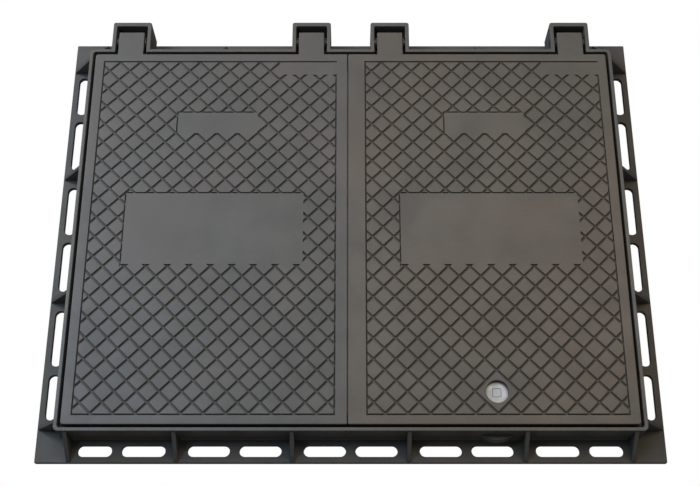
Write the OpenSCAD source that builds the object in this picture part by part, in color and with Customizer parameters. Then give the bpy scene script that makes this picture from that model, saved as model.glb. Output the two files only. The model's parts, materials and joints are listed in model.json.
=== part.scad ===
// Two-leaf ductile iron access cover with its frame, shown closed and unlocked.
// +Z is up, +Y is the hinge side, and the origin is the centre of the flange on its underside.

/* [Frame] */
// Width of the base flange, left to right
flange_w = 1000; // [830:1:1300]
// Depth of the base flange, front to back
flange_d = 770; // [640:1:1000]
// Thickness of the base flange
flange_t = 9; // [7:0.5:12]
// Corner radius of the base flange
flange_corner_r = 2; // [1:0.5:12]
// How far the flange stands out of the side walls
flange_side = 37; // [34:0.5:60]
// How far the flange stands out of the front and rear walls
flange_end = 39; // [36:0.5:60]
// Height of the frame and of the closed leaves
frame_h = 60; // [58:1:80]
// Thickness of the upright wall
wall_t = 5.75; // [4.5:0.25:8]
// Outer corner radius of the upright wall
wall_corner_r = 8; // [5:0.5:12]
// Width of the seat that carries the leaves
seat_w = 25; // [22:0.5:32]
// Thickness of the seat
seat_t = 10; // [7:0.5:11]

/* [Anchor slots and gussets] */
// Width of an anchor slot
slot_w = 18; // [12:0.5:20]
// From the flange's edge to the slot
slot_margin = 10; // [7:0.5:14]
// Iron left between two slots of one bay
slot_web = 15; // [10:0.5:24]
// From a gusset's middle to the slot beside it
slot_to_gusset = 17.5; // [14:0.5:24]
// The same at a corner gusset
slot_to_corner_gusset = 13; // [12:0.5:20]
// Share of a corner bay's slot length that its first slot takes
corner_slot_share = 0.56; // [0.5:0.01:0.6]
// Thickness of a gusset
gusset_t = 7; // [5:0.5:10]
// How far a gusset's top stays under the rim
gusset_drop = 4; // [2:0.5:15]
// Spacing of the front gussets
gusset_pitch_x = 184; // [150:1:240]
// Spacing of the side gussets
gusset_pitch_y = 227; // [180:1:280]
// From a wall's end to the middle of its corner gusset
gusset_corner_inset = 17; // [12:0.5:24]

/* [Leaves] */
// Gap between the leaves and the rim
edge_gap = 4.75; // [3:0.25:6]
// Gap between the two leaves
joint_gap = 1.6; // [1:0.1:4]
// Where the joint lies, left of the middle
joint_offset = 5; // [0:0.5:10]
// Corner radius of the closed cover
leaf_corner_r = 4.5; // [2:0.5:8]
// Depth of a leaf's seated edge
leaf_edge_t = 14; // [11:0.5:14]
// Thickness of the plate between the ribs, tread included
plate_t = 10; // [8:0.5:11]
// Thickness of a rib
rib_t = 8; // [6:0.5:12]
// Height of the ribs' lower edge above the ground
rib_bottom = 24; // [18:0.5:34]
// Gap between the outermost ribs and the seat
rib_clear = 4; // [3:0.5:8]
// Rib bays across a leaf
rib_bays_x = 4; // [2:1:4]
// Rib bays from front to back of a leaf
rib_bays_y = 6; // [3:1:6]

/* [Tread] */
// Pitch of the crossed grooves, measured square to them
tread_pitch = 25; // [20:0.5:32]
// Width of a tread groove
groove_w = 5; // [3:0.25:7]
// Depth of every groove
groove_depth = 3.5; // [2:0.25:5]
// Width of the groove round the tread
border_groove_w = 3.3; // [2:0.1:5]
// Plain border along a leaf's outer side
border_side = 15; // [10:0.5:24]
// Plain border along the front and rear edges
border_end = 14; // [10:0.5:24]
// From the cover's middle to the tread
border_middle = 24; // [16:0.5:32]
// Width and depth of the plain label pad
label_pad = [298, 128];
// Middle of the label pad from the middle of the tread
label_pad_at = [2, -2.5];
// Width and depth of the plain pad near the hinges
small_pad = [137, 39.7];
// Middle of the small pad from the middle of the tread
small_pad_at = [0.5, 196.7];
// Width and depth of the plain panel at the rear right of the tread
corner_panel = [100, 24.5];

/* [Hinges] */
// Spacing of a leaf's two hinge tabs
tab_spacing = 321.6; // [240:0.1:340]
// Width of a hinge tab
tab_w = 45; // [35:0.5:55]
// Corner radius of a tab
tab_corner_r = 4.5; // [2:0.5:8]
// Hinge axis below the top of the cover
axis_drop = 15; // [14:0.5:15.5]
// Hinge axis behind the leaf's edge
axis_back = 30.5; // [29:0.5:32]
// Diameter of a hinge pin
pin_d = 14; // [10:0.5:18]
// Radial clearance of the pin in the tab's eye
pin_clear = 0.05; // [0.02:0.01:0.1]
// Gap between a tab's side and its pocket
pocket_gap = 5.15; // [4.5:0.05:8]
// Thickness of a pocket's side
pocket_side_t = 6.7; // [5:0.1:10]
// Thickness of a pocket's back
pocket_back_t = 7.9; // [5:0.1:10]
// Gap between a tab's end and the pocket's back
pocket_end_gap = 13; // [9:0.5:20]
// Outer diameter of a pin's snap ring
snap_ring_d = 22; // [18:0.5:26]
// Thickness of a snap ring
snap_ring_t = 1.5; // [1:0.1:2]
// Depth of the snap ring's groove
snap_ring_groove = 0.8; // [0.4:0.1:1.2]
// Outer diameter of a nylon spacer
spacer_d = 24; // [20:0.5:28]

/* [Seat strips] */
// Width of a rubber seat strip
strip_w = 16; // [12:0.5:17]
// Thickness of a seat strip
strip_t = 5.5; // [4.5:0.5:7]
// Depth of the strip's groove in the seat
strip_groove = 1.5; // [1:0.25:3]
// From the rim to the strip
strip_inset = 6; // [5:0.25:7]
// Height of the seal strip in the joint between the leaves
joint_seal_h = 6; // [4:0.5:10]
// How far the joint's seal lies under the top of the cover
joint_seal_drop = 4; // [2:0.5:6]
// Gap left between the joint's seal and the other leaf
joint_seal_gap = 0.3; // [0.2:0.05:0.6]

/* [Lock] */
// Diameter of the key hole
key_hole_d = 36; // [28:0.5:40]
// Depth of the key hole down to the spindle's face
key_hole_depth = 8; // [7:0.5:9]
// Tread pitches from the middle of the tread forward to the key hole
key_hole_rows = 8; // [6:1:8]
// From the tread field's front edge to the key hole's axis, least
key_pad_clear = 38; // [36:0.5:44]
// How much wider than the key hole the spindle's head is
head_overlap = 1.2; // [1:0.1:3]
// Thickness of the spindle's head
head_t = 8; // [6:0.5:9]
// Width of the square socket in the spindle's face
socket_w = 13; // [10:0.5:16]
// Depth of the socket
socket_depth = 5; // [3:0.5:6]
// Diameter of the spindle's journal
journal_d = 20; // [18:0.5:24]
// Radial clearance of the journal in its bush
journal_clear = 0.05; // [0.02:0.01:0.1]
// Thickness of the bush's flange
bush_flange_t = 5; // [4:0.5:6]
// Diameter of the lock boss and of the bush's flange
lock_boss_d = 58; // [56:0.5:64]
// Thickness of the wave washer
wave_washer_t = 1.9; // [1:0.1:3]
// Thickness of the tongue
tongue_t = 8; // [6:0.5:10]
// Width of the tongue
tongue_w = 22; // [18:0.5:26]
// From the spindle's axis to the tongue's tip
tongue_reach = 64; // [56:0.5:66]
// Gap between the tongue and the underside of the seat
tongue_gap = 1; // [0.5:0.25:3]
// Gap round the tongue's tip in its recess
keeper_gap = 2.5; // [1.5:0.25:3]
// Half width of the keeper boss on the front wall
keeper_half_w = 26.5; // [24:0.5:32]
// How far the keeper boss stands out of the wall
keeper_reach = 8.5; // [7:0.5:10]
// Iron above the keeper's recess
keeper_roof = 4; // [3:0.5:6]

/* [Hidden] */

$fn = 64;
eps = 0.01;
// Reach past a face by which a cut clears it
cut = 1;

iron = [0.30, 0.30, 0.31];
zinc = [0.72, 0.72, 0.70];
brass = [0.72, 0.60, 0.34];
rubber = [0.10, 0.10, 0.11];
nylon = [0.12, 0.12, 0.13];
plug_grey = [0.74, 0.75, 0.75];

// Upright wall: outer face, inner face, and the clear opening inside the seat
wall_x = flange_w / 2 - flange_side;
wall_y = flange_d / 2 - flange_end;
rim_x = wall_x - wall_t;
rim_y = wall_y - wall_t;
open_x = rim_x - seat_w;
open_y = rim_y - seat_w;

// Leaves: outer edges, joint edges and undersides
cover_x = rim_x - edge_gap;
cover_y = rim_y - edge_gap;
left_in = -joint_offset - joint_gap / 2;
right_in = -joint_offset + joint_gap / 2;
joint_corner_r = 1.5;
leaf_bottom = frame_h - leaf_edge_t;
plate_bottom = frame_h - plate_t;
rib_x = open_x - rib_clear;
rib_y = open_y - rib_clear;
// The joint ribs stand back from the joint edge by this much
joint_rib_inset = 1.5;

// Seat and its strips
seat_top = leaf_bottom - (strip_t - strip_groove);
seat_bottom = seat_top - seat_t;
strip_x = rim_x - strip_inset - strip_w / 2;
strip_y = rim_y - strip_inset - strip_w / 2;
strip_butt_gap = 0.5;

// Tread field: a rectangle on each leaf, centred on field_x
field_out = cover_x - border_side;
field_x = (border_middle + field_out) / 2;
field_w = field_out - border_middle;
field_d = 2 * (cover_y - border_end);
crossing = tread_pitch * sqrt(2);
pad_line_w = 3;

// Hinges
axis_y = cover_y + axis_back;
axis_z = frame_h - axis_drop;
// The eye's round end meets the cover's top
eye_r = axis_drop;
tab_end = axis_y + eye_r;
pocket_w = tab_w + 2 * pocket_gap;
pocket_outer_w = pocket_w + 2 * pocket_side_t;
pocket_back = tab_end + pocket_end_gap;
outer_tab_x = field_x + tab_spacing / 2;
inner_tab_x = field_x - tab_spacing / 2;
snap_ring_gap = 0.25;
spacer_gap = 0.2;

// Lock, from the key hole down
lock_x = field_x;
// The key pad stands on a crossing of the tread, clear of the front seat.
key_row = min(key_hole_rows, floor((field_d / 2 - key_pad_clear) / crossing));
lock_y = -key_row * crossing;
head_top = frame_h - key_hole_depth;
head_r = key_hole_d / 2 + head_overlap - 0.6;
head_bore_r = head_r + 0.4;
head_bottom = head_top - head_t;
tongue_top = seat_bottom - tongue_gap;
tongue_bottom = tongue_top - tongue_t;
bush_bottom = tongue_top + wave_washer_t + 0.1;
boss_bottom = bush_bottom + bush_flange_t;
square_w = 14;
square_clear = 0.1;
stud_d = 12;
plate_washer_t = 2;
plate_washer_d = 24;
nut_h = 10;
nut_af = 18;
split_pin_d = 2.5;
stud_end = tongue_bottom - plate_washer_t - nut_h - 4.5;
split_pin_z = tongue_bottom - plate_washer_t - nut_h - split_pin_d / 2 - 0.2;
bush_screw_d = 5;
bush_screw_length = 12;
bush_screw_count = 3;
bush_screw_r = 23;
bush_screw_turn = 60;
stop_size = [7, 6];
stop_gap = 0.4;
seal_ring_d = 2;
seal_ring_r = head_bore_r - seal_ring_d / 2 - 0.1;
keeper_r = (keeper_half_w ^ 2 + keeper_reach ^ 2) / (2 * keeper_reach);
recess_r = tongue_reach + keeper_gap;
recess_bottom = tongue_bottom - 3;
keeper_top = seat_bottom + keeper_roof;
// Ribs inside this radius of the lock end above the tongue, by this much above the bush
swing_r = tongue_reach + 3;
rib_over_tongue = 0.5;

// Middles of the gussets on one half of a wall whose half length is half
function gussets_on(pitch, half) = concat(
    [for (at = pitch / 2; at < half - gusset_corner_inset - 2.5 * slot_to_gusset; at = at + pitch) at],
    [half - gusset_corner_inset]
);
front_gussets = gussets_on(gusset_pitch_x, wall_x);
side_gussets = gussets_on(gusset_pitch_y, wall_y);
// The rear gussets stand halfway between a leaf's two pockets, and at the corners
rear_gussets = [field_x, wall_x - gusset_corner_inset];

// A rectangle with round corners, centred
module round_rect(w, d, r) {
    square([w - 2 * r, d], center = true);
    square([w, d - 2 * r], center = true);
    for (x = [-1, 1], y = [-1, 1])
        translate([x * (w / 2 - r), y * (d / 2 - r)]) circle(r);
}

// A slot with round ends along X, from one end to the other
module slot_2d(from, to) {
    translate([from + slot_w / 2, -slot_w / 2]) square([to - from - slot_w, slot_w]);
    for (x = [from + slot_w / 2, to - slot_w / 2]) translate([x, 0]) circle(d = slot_w);
}

// The slots of one bay: two where the bay is long enough, otherwise one
module bay_slots(from, to, share) {
    run = to - from - slot_web;
    if (run * (1 - share) > 1.5 * slot_w) {
        slot_2d(from, from + run * share);
        slot_2d(to - run * (1 - share), to);
    } else if (to - from > slot_w) {
        slot_2d(from, to);
    }
}

// The slots along one half of a wall, between gussets at the given places
module half_row(at) {
    slot_2d(slot_web / 2, at[0] - slot_to_gusset);
    for (i = [1 : len(at) - 1]) {
        last = i == len(at) - 1;
        bay_slots(at[i - 1] + slot_to_gusset,
                  at[i] - (last ? slot_to_corner_gusset : slot_to_gusset),
                  last ? corner_slot_share : 0.5);
    }
}

// The rear slots of one half: in line with the front ones beside the inner pocket, then one more
module rear_half_row() {
    from = front_gussets[0] + slot_to_gusset;
    first_to = from + (gusset_pitch_x - 2 * slot_to_gusset - slot_web) / 2;
    slot_2d(from, first_to);
    slot_2d(field_x + slot_to_gusset, outer_tab_x - pocket_outer_w / 2 - slot_to_corner_gusset);
}

module anchor_slots_2d() {
    row_y = flange_d / 2 - slot_margin - slot_w / 2;
    row_x = flange_w / 2 - slot_margin - slot_w / 2;
    for (flip = [0, 1]) mirror([flip, 0]) {
        translate([0, -row_y]) half_row(front_gussets);
        translate([0, row_y]) rear_half_row();
        for (up = [0, 1]) mirror([0, up])
            translate([row_x, 0]) rotate(90) half_row(side_gussets);
    }
}

// A gusset in the XZ plane, standing on the flange from x = 0 outwards
module gusset(reach) {
    height = frame_h - gusset_drop - flange_t;
    toe = 1.5;
    translate([0, gusset_t / 2, flange_t]) rotate([90, 0, 0])
        linear_extrude(gusset_t)
            polygon([[-cut, -cut], [reach - toe, -cut], [reach - toe, toe], [0, height], [-cut, height]]);
}

module gusset_rows() {
    for (flip = [0, 1]) mirror([flip, 0, 0]) {
        for (x = front_gussets) translate([x, -wall_y, 0]) rotate(-90) gusset(flange_end);
        for (x = rear_gussets) translate([x, wall_y, 0]) rotate(90) gusset(flange_end);
        for (y = side_gussets, s = [-1, 1]) translate([wall_x, s * y, 0]) gusset(flange_side);
    }
}

// Middles of the four hinge tabs, left to right
tab_places = [-outer_tab_x, -inner_tab_x, inner_tab_x, outer_tab_x];

module pocket_shell(x) {
    translate([x - pocket_outer_w / 2, wall_y - cut, 0])
        cube([pocket_outer_w, pocket_back + pocket_back_t - wall_y + cut, frame_h]);
}

module pocket_cavity(x) {
    translate([x - pocket_w / 2, wall_y - eps, flange_t])
        cube([pocket_w, pocket_back - wall_y + eps, frame_h]);
    translate([x - pocket_w / 2, rim_y - cut, seat_top])
        cube([pocket_w, wall_t + 2 * cut, frame_h]);
    translate([x - pocket_outer_w / 2 - cut, axis_y, axis_z]) rotate([0, 90, 0])
        cylinder(d = pin_d, h = pocket_outer_w + 2 * cut);
}

// A bulge on the front wall that gives the tongue's recess its iron
module keeper_boss() {
    intersection() {
        translate([lock_x, keeper_r - wall_y - keeper_reach, 0]) cylinder(r = keeper_r, h = keeper_top, $fn = 96);
        translate([lock_x - keeper_r, -wall_y - 2 * keeper_reach, 0])
            cube([2 * keeper_r, 2 * keeper_reach + wall_t / 2, keeper_top]);
    }
}

module strip_grooves() {
    translate([0, 0, seat_top - strip_groove]) linear_extrude(strip_groove + cut)
        for (s = [-1, 1]) {
            translate([0, s * strip_y]) square([2 * strip_x + strip_w, strip_w], center = true);
            translate([s * strip_x, 0]) square([strip_w, 2 * strip_y + strip_w], center = true);
        }
}

module frame() {
    color(iron) difference() {
        union() {
            linear_extrude(flange_t) difference() {
                round_rect(flange_w, flange_d, flange_corner_r);
                square([2 * rim_x, 2 * rim_y], center = true);
                anchor_slots_2d();
            }
            linear_extrude(frame_h) difference() {
                round_rect(2 * wall_x, 2 * wall_y, wall_corner_r);
                round_rect(2 * rim_x, 2 * rim_y, leaf_corner_r);
            }
            translate([0, 0, seat_bottom]) linear_extrude(seat_t) difference() {
                square([2 * rim_x + wall_t, 2 * rim_y + wall_t], center = true);
                round_rect(2 * open_x, 2 * open_y, leaf_corner_r);
            }
            gusset_rows();
            for (x = tab_places) pocket_shell(x);
            keeper_boss();
        }
        for (x = tab_places) pocket_cavity(x);
        strip_grooves();
        translate([lock_x, lock_y, recess_bottom])
            cylinder(r = recess_r, h = seat_bottom - recess_bottom, $fn = 96);
    }
}

// Outline of a leaf from x0 to x1, with its round corners at the outer side
module leaf_outline(x0, x1, outer) {
    r = leaf_corner_r;
    q = joint_corner_r;
    xo = outer > 0 ? x1 : x0;
    xi = outer > 0 ? x0 : x1;
    lo = min(xo - outer * r, xi + outer * q);
    hi = max(xo - outer * r, xi + outer * q);
    translate([lo, -cover_y]) square([hi - lo, 2 * cover_y]);
    translate([min(xo, xo - outer * r), r - cover_y]) square([r, 2 * (cover_y - r)]);
    translate([min(xi, xi + outer * q), q - cover_y]) square([q, 2 * (cover_y - q)]);
    for (s = [-1, 1]) {
        translate([xo - outer * r, s * (cover_y - r)]) circle(r);
        translate([xi + outer * q, s * (cover_y - q)]) circle(q);
    }
}

// A rectangle given by its middle, in one line of a pattern
module patch(at, size) {
    translate(at - size / 2) square(size);
}

// One raised diamond of the tread, by its middle
module diamond(at) {
    translate(at) rotate(45) square(tread_pitch - groove_w, center = true);
}

// Every raised diamond whose middle is within the field or just outside it,
// but not the four that the key hole's pad takes the place of
module diamonds(lockable) {
    reach = ceil((field_w + field_d) / (2 * crossing)) + 1;
    for (i = [-reach : reach - 1], j = [-reach : reach - 1]) {
        x = (i - j) * crossing / 2;
        y = (i + j + 1) * crossing / 2;
        in_field = abs(x) < field_w / 2 + groove_w && abs(y) < field_d / 2 + groove_w;
        in_key_pad = lockable && abs(x) + abs(y - lock_y) < crossing * 0.75;
        if (in_field && !in_key_pad) diamond([x, y]);
    }
}

// The plain pads, in the field's own coordinates
module pads(lockable) {
    patch(label_pad_at, label_pad);
    patch(small_pad_at, small_pad);
    if (lockable)
        translate([0, lock_y]) rotate(45) square(2 * tread_pitch - groove_w, center = true);
}

// Fine grooves along the rear and left edges of the two pads
module pad_lines() {
    for (p = [[label_pad_at, label_pad], [small_pad_at, small_pad]]) {
        at = p[0];
        size = p[1];
        patch(at + [-pad_line_w / 2, size[1] / 2 + pad_line_w / 2], [size[0] + pad_line_w, pad_line_w]);
        patch(at - [size[0] / 2 + pad_line_w / 2, 0], [pad_line_w, size[1]]);
    }
}

module tread_grooves(lockable) {
    inner = [field_w - 2 * border_groove_w, field_d - 2 * border_groove_w];
    difference() {
        square([field_w, field_d], center = true);
        difference() {
            intersection() {
                square(inner, center = true);
                union() {
                    diamonds(lockable);
                    pads(lockable);
                }
            }
            pad_lines();
        }
        translate([field_w / 2 - corner_panel[0], field_d / 2 - border_groove_w - corner_panel[1]])
            square([corner_panel[0] + cut, corner_panel[1]]);
    }
}

// Rib grid inside the rectangle x0, x1 by plus and minus rib_y
module ribs(x0, x1) {
    step_x = (x1 - x0 - rib_t) / rib_bays_x;
    step_y = (2 * rib_y - rib_t) / rib_bays_y;
    height = plate_bottom - rib_bottom + eps;
    for (i = [0 : rib_bays_x])
        translate([x0 + i * step_x, -rib_y, rib_bottom]) cube([rib_t, 2 * rib_y, height]);
    for (i = [0 : rib_bays_y])
        translate([x0, -rib_y + i * step_y, rib_bottom]) cube([x1 - x0, rib_t, height]);
}

// A hinge tab on the rear edge, with its eye on the hinge axis
module hinge_tab(x) {
    root = cover_y - 2 * tab_corner_r;
    below_eye = 50;
    difference() {
        union() {
            translate([x, (root + tab_end) / 2, axis_z]) linear_extrude(frame_h - axis_z)
                round_rect(tab_w, tab_end - root, tab_corner_r);
            translate([x - tab_w / 2, axis_y, axis_z]) rotate([0, 90, 0]) cylinder(r = eye_r, h = tab_w);
            translate([x - tab_w / 2, 0, 0]) rotate([90, 0, 90]) linear_extrude(tab_w)
                polygon([
                    [rim_y + wall_t / 2, leaf_bottom],
                    [axis_y - eye_r * sin(below_eye), axis_z - eye_r * cos(below_eye)],
                    [axis_y, axis_z + eps],
                    [rim_y + wall_t / 2, leaf_bottom + eps]
                ]);
        }
        translate([x - tab_w, root - cut, 0]) cube([2 * tab_w, cover_y + axis_drop - root, leaf_bottom]);
        translate([x - tab_w, axis_y, axis_z]) rotate([0, 90, 0])
            cylinder(r = pin_d / 2 + pin_clear, h = 2 * tab_w);
    }
}

module leaf_body(x0, x1, outer) {
    rib_x0 = outer > 0 ? x0 + joint_rib_inset : -rib_x;
    rib_x1 = outer > 0 ? rib_x : x1 - joint_rib_inset;
    translate([0, 0, plate_bottom]) linear_extrude(plate_t) leaf_outline(x0, x1, outer);
    translate([0, 0, leaf_bottom]) linear_extrude(leaf_edge_t - plate_t + eps) difference() {
        leaf_outline(x0, x1, outer);
        translate([rib_x0 + rib_t, -rib_y + rib_t]) square([rib_x1 - rib_x0 - 2 * rib_t, 2 * (rib_y - rib_t)]);
    }
    ribs(rib_x0, rib_x1);
    for (s = [-1, 1]) hinge_tab(outer * field_x + s * tab_spacing / 2);
}

module left_leaf() {
    color(iron) difference() {
        leaf_body(-cover_x, left_in, -1);
        translate([-field_x, 0, frame_h - groove_depth]) linear_extrude(groove_depth + cut)
            tread_grooves(false);
    }
}

module right_leaf() {
    color(iron) difference() {
        union() {
            difference() {
                leaf_body(right_in, cover_x, 1);
                translate([lock_x, lock_y, 0]) cylinder(r = swing_r, h = bush_bottom + rib_over_tongue);
                translate([lock_x, lock_y, 0]) cylinder(r = lock_boss_d / 2 + 1, h = boss_bottom);
            }
            translate([lock_x, lock_y, boss_bottom]) cylinder(d = lock_boss_d, h = plate_bottom - boss_bottom + eps);
        }
        translate([field_x, 0, frame_h - groove_depth]) linear_extrude(groove_depth + cut)
            tread_grooves(true);
        translate([lock_x, lock_y, head_top - eps]) cylinder(d = key_hole_d, h = key_hole_depth + cut);
        translate([lock_x, lock_y, 0]) cylinder(r = head_bore_r, h = head_top);
        on_bush_screws() translate([0, 0, bush_bottom]) cylinder(d = bush_screw_d + 0.2, h = bush_screw_length + cut);
    }
}

// A seat strip lying in its groove
module strip(at, size) {
    color(rubber) translate([at[0] - size[0] / 2, at[1] - size[1] / 2, seat_top - strip_groove])
        cube([size[0], size[1], strip_t]);
}

// The seal strip on the right leaf's side of the joint
module joint_seal() {
    width = joint_gap - joint_seal_gap;
    length = 2 * (cover_y - joint_corner_r);
    color(rubber) translate([right_in - width, -length / 2, frame_h - joint_seal_drop - joint_seal_h])
        cube([width, length, joint_seal_h]);
}

end_strip = [2 * strip_x + strip_w, strip_w];
side_strip = [strip_w, 2 * strip_y - strip_w - 2 * strip_butt_gap];

// Along X from the middle of a hinge, where the snap rings and spacers lie
ring_at = pocket_w / 2 - snap_ring_gap - snap_ring_t;
spacer_from = tab_w / 2 + spacer_gap;
spacer_to = ring_at - spacer_gap;

module hinge_pin(x) {
    color(zinc) translate([x, axis_y, axis_z]) rotate([0, 90, 0]) difference() {
        cylinder(d = pin_d, h = pocket_outer_w, center = true);
        for (s = [-1, 1]) translate([0, 0, s * (ring_at + snap_ring_t / 2)]) difference() {
            cylinder(d = pin_d + cut, h = snap_ring_t + 0.1, center = true);
            cylinder(r = pin_d / 2 - snap_ring_groove, h = 2 * snap_ring_t, center = true);
        }
    }
}

// Two rings round a hinge axis, mirrored about the tab's middle
module ring_pair(x, from, to, inner_r, outer_r) {
    for (s = [-1, 1]) translate([x + s * (from + to) / 2, axis_y, axis_z]) rotate([0, 90, 0])
        difference() {
            cylinder(r = outer_r, h = to - from, center = true);
            cylinder(r = inner_r, h = 2 * (to - from), center = true);
        }
}

module snap_rings(side) {
    color(zinc) for (x = [inner_tab_x, outer_tab_x])
        ring_pair(side * x, ring_at, ring_at + snap_ring_t, pin_d / 2 - snap_ring_groove, snap_ring_d / 2);
}

module hinge_spacers(side) {
    color(nylon) for (x = [inner_tab_x, outer_tab_x])
        ring_pair(side * x, spacer_from, spacer_to, pin_d / 2 + pin_clear, spacer_d / 2);
}

// Repeats its children at the bush's screws
module on_bush_screws() {
    for (i = [0 : bush_screw_count - 1])
        translate([lock_x, lock_y, 0]) rotate(bush_screw_turn + i * 360 / bush_screw_count)
            translate([bush_screw_r, 0, 0]) children();
}

// A cone from a countersunk screw's face down to its shank
module countersink(clear) {
    translate([0, 0, bush_bottom - eps])
        cylinder(r1 = bush_screw_d + clear, r2 = bush_screw_d / 2 + clear, h = bush_screw_d / 2);
}

module lock_spindle() {
    color(zinc) translate([lock_x, lock_y, 0]) difference() {
        union() {
            translate([0, 0, head_bottom]) cylinder(r = head_r, h = head_t, $fn = 96);
            translate([0, 0, tongue_top]) cylinder(d = journal_d, h = head_bottom - tongue_top + eps);
            translate([-square_w / 2, -square_w / 2, tongue_bottom]) cube([square_w, square_w, tongue_t + eps]);
            translate([0, 0, stud_end]) cylinder(d = stud_d, h = tongue_bottom - stud_end + eps);
        }
        translate([-socket_w / 2, -socket_w / 2, head_top - socket_depth])
            cube([socket_w, socket_w, socket_depth + cut]);
        translate([0, 0, head_bottom + head_t / 2]) rotate_extrude($fn = 96)
            translate([seal_ring_r - seal_ring_d / 2 - 0.1, -seal_ring_d / 2 - 0.1])
                square([2 * seal_ring_d, seal_ring_d + 0.2]);
        translate([0, -stud_d, split_pin_z]) rotate([-90, 0, 0]) cylinder(d = split_pin_d + 0.2, h = 2 * stud_d);
    }
}

// A dust plug, flush with the spindle's face
module socket_plug() {
    plug_w = socket_w - 0.2;
    color(plug_grey) translate([lock_x - plug_w / 2, lock_y - plug_w / 2, head_top - socket_depth])
        cube([plug_w, plug_w, socket_depth]);
}

module spindle_seal_ring() {
    color(rubber) translate([lock_x, lock_y, head_bottom + head_t / 2])
        rotate_extrude($fn = 96) translate([seal_ring_r, 0]) circle(d = seal_ring_d, $fn = 24);
}

// Quarter-turn stops beside the tongue, at rest and at its locked place
module tongue_stops() {
    side = tongue_w / 2 + stop_gap;
    from = journal_d / 2 + 8;
    height = bush_bottom - tongue_bottom;
    translate([from, side, tongue_bottom]) cube([stop_size[0], stop_size[1], height + eps]);
    translate([-side - stop_size[1], -from - stop_size[0], tongue_bottom])
        cube([stop_size[1], stop_size[0], height + eps]);
}

module lock_bush() {
    color(brass) difference() {
        translate([lock_x, lock_y, 0]) union() {
            translate([0, 0, bush_bottom]) cylinder(r = head_bore_r, h = head_bottom - 0.3 - bush_bottom, $fn = 96);
            translate([0, 0, bush_bottom]) cylinder(d = lock_boss_d, h = bush_flange_t, $fn = 96);
            tongue_stops();
        }
        translate([lock_x, lock_y, bush_bottom - cut])
            cylinder(r = journal_d / 2 + journal_clear, h = head_bottom - bush_bottom + cut);
        on_bush_screws() {
            countersink(0.1);
            translate([0, 0, bush_bottom]) cylinder(d = bush_screw_d + 0.2, h = bush_flange_t + cut);
        }
    }
}

module lock_bush_screws() {
    color(zinc) on_bush_screws() difference() {
        union() {
            countersink(0);
            translate([0, 0, bush_bottom]) cylinder(d = bush_screw_d, h = bush_screw_length);
        }
        translate([0, 0, bush_bottom - cut]) cylinder(d = bush_screw_d * 0.6, h = 1.8 + cut, $fn = 6);
    }
}

module lock_ring(inner_r, outer_r, from, thickness) {
    translate([lock_x, lock_y, from]) difference() {
        cylinder(r = outer_r, h = thickness);
        translate([0, 0, -cut]) cylinder(r = inner_r, h = thickness + 2 * cut);
    }
}

module lock_wave_washer() {
    color(zinc) lock_ring(journal_d / 2 + 0.3, journal_d / 2 + 4.5, tongue_top, wave_washer_t);
}

module lock_tongue() {
    tip_r = tongue_w / 2;
    color(zinc) translate([lock_x, lock_y, tongue_bottom]) difference() {
        union() {
            cylinder(d = journal_d + 14, h = tongue_t);
            intersection() {
                translate([0, -tongue_w / 2, 0]) cube([tongue_reach, tongue_w, tongue_t]);
                cylinder(r = tongue_reach, h = tongue_t, $fn = 128);
            }
        }
        translate([-square_w / 2 - square_clear, -square_w / 2 - square_clear, -cut])
            cube([square_w + 2 * square_clear, square_w + 2 * square_clear, tongue_t + 2 * cut]);
    }
}

module lock_plate_washer() {
    color(zinc)
        lock_ring(stud_d / 2 + 0.3, plate_washer_d / 2, tongue_bottom - plate_washer_t, plate_washer_t);
}

module lock_nut() {
    color(zinc) translate([lock_x, lock_y, tongue_bottom - plate_washer_t - nut_h]) difference() {
        cylinder(d = nut_af / cos(30), h = nut_h, $fn = 6);
        translate([0, 0, -cut]) cylinder(d = stud_d, h = nut_h + 2 * cut);
    }
}

// A split pin through the stud below the nut, with its eye in front and its legs bent up behind
module lock_split_pin() {
    leg = stud_d / 2 + 4;
    eye_r = split_pin_d;
    color(zinc) translate([lock_x, lock_y, split_pin_z]) {
        translate([0, -leg, 0]) rotate([-90, 0, 0]) cylinder(d = split_pin_d, h = 2 * leg, $fn = 24);
        translate([0, -leg - eye_r, 0]) rotate([0, 90, 0])
            rotate_extrude($fn = 32) translate([eye_r, 0]) circle(d = split_pin_d * 0.6, $fn = 16);
    }
}

frame();
left_leaf();
right_leaf();
strip([0, -strip_y], end_strip);  // front_seat_strip
strip([0, strip_y], end_strip);  // rear_seat_strip
strip([-strip_x, 0], side_strip);  // left_seat_strip
strip([strip_x, 0], side_strip);  // right_seat_strip
joint_seal();
hinge_pin(-outer_tab_x);  // left_outer_hinge_pin
hinge_pin(-inner_tab_x);  // left_inner_hinge_pin
hinge_pin(inner_tab_x);  // right_inner_hinge_pin
hinge_pin(outer_tab_x);  // right_outer_hinge_pin
snap_rings(-1);  // left_snap_rings
snap_rings(1);  // right_snap_rings
hinge_spacers(-1);  // left_hinge_spacers
hinge_spacers(1);  // right_hinge_spacers
lock_spindle();
socket_plug();
spindle_seal_ring();
lock_bush();
lock_bush_screws();
lock_wave_washer();
lock_tongue();
lock_plate_washer();
lock_nut();
lock_split_pin();
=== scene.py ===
"""Look of a two-leaf iron access cover in its frame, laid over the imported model."""

import json
import logging
import math
from dataclasses import dataclass, field
from enum import Enum
from typing import Iterable, Sequence

import bmesh
import bpy
from bmesh.types import BMEdge, BMesh, BMFace, BMVert
from mathutils import Matrix, Vector


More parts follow.
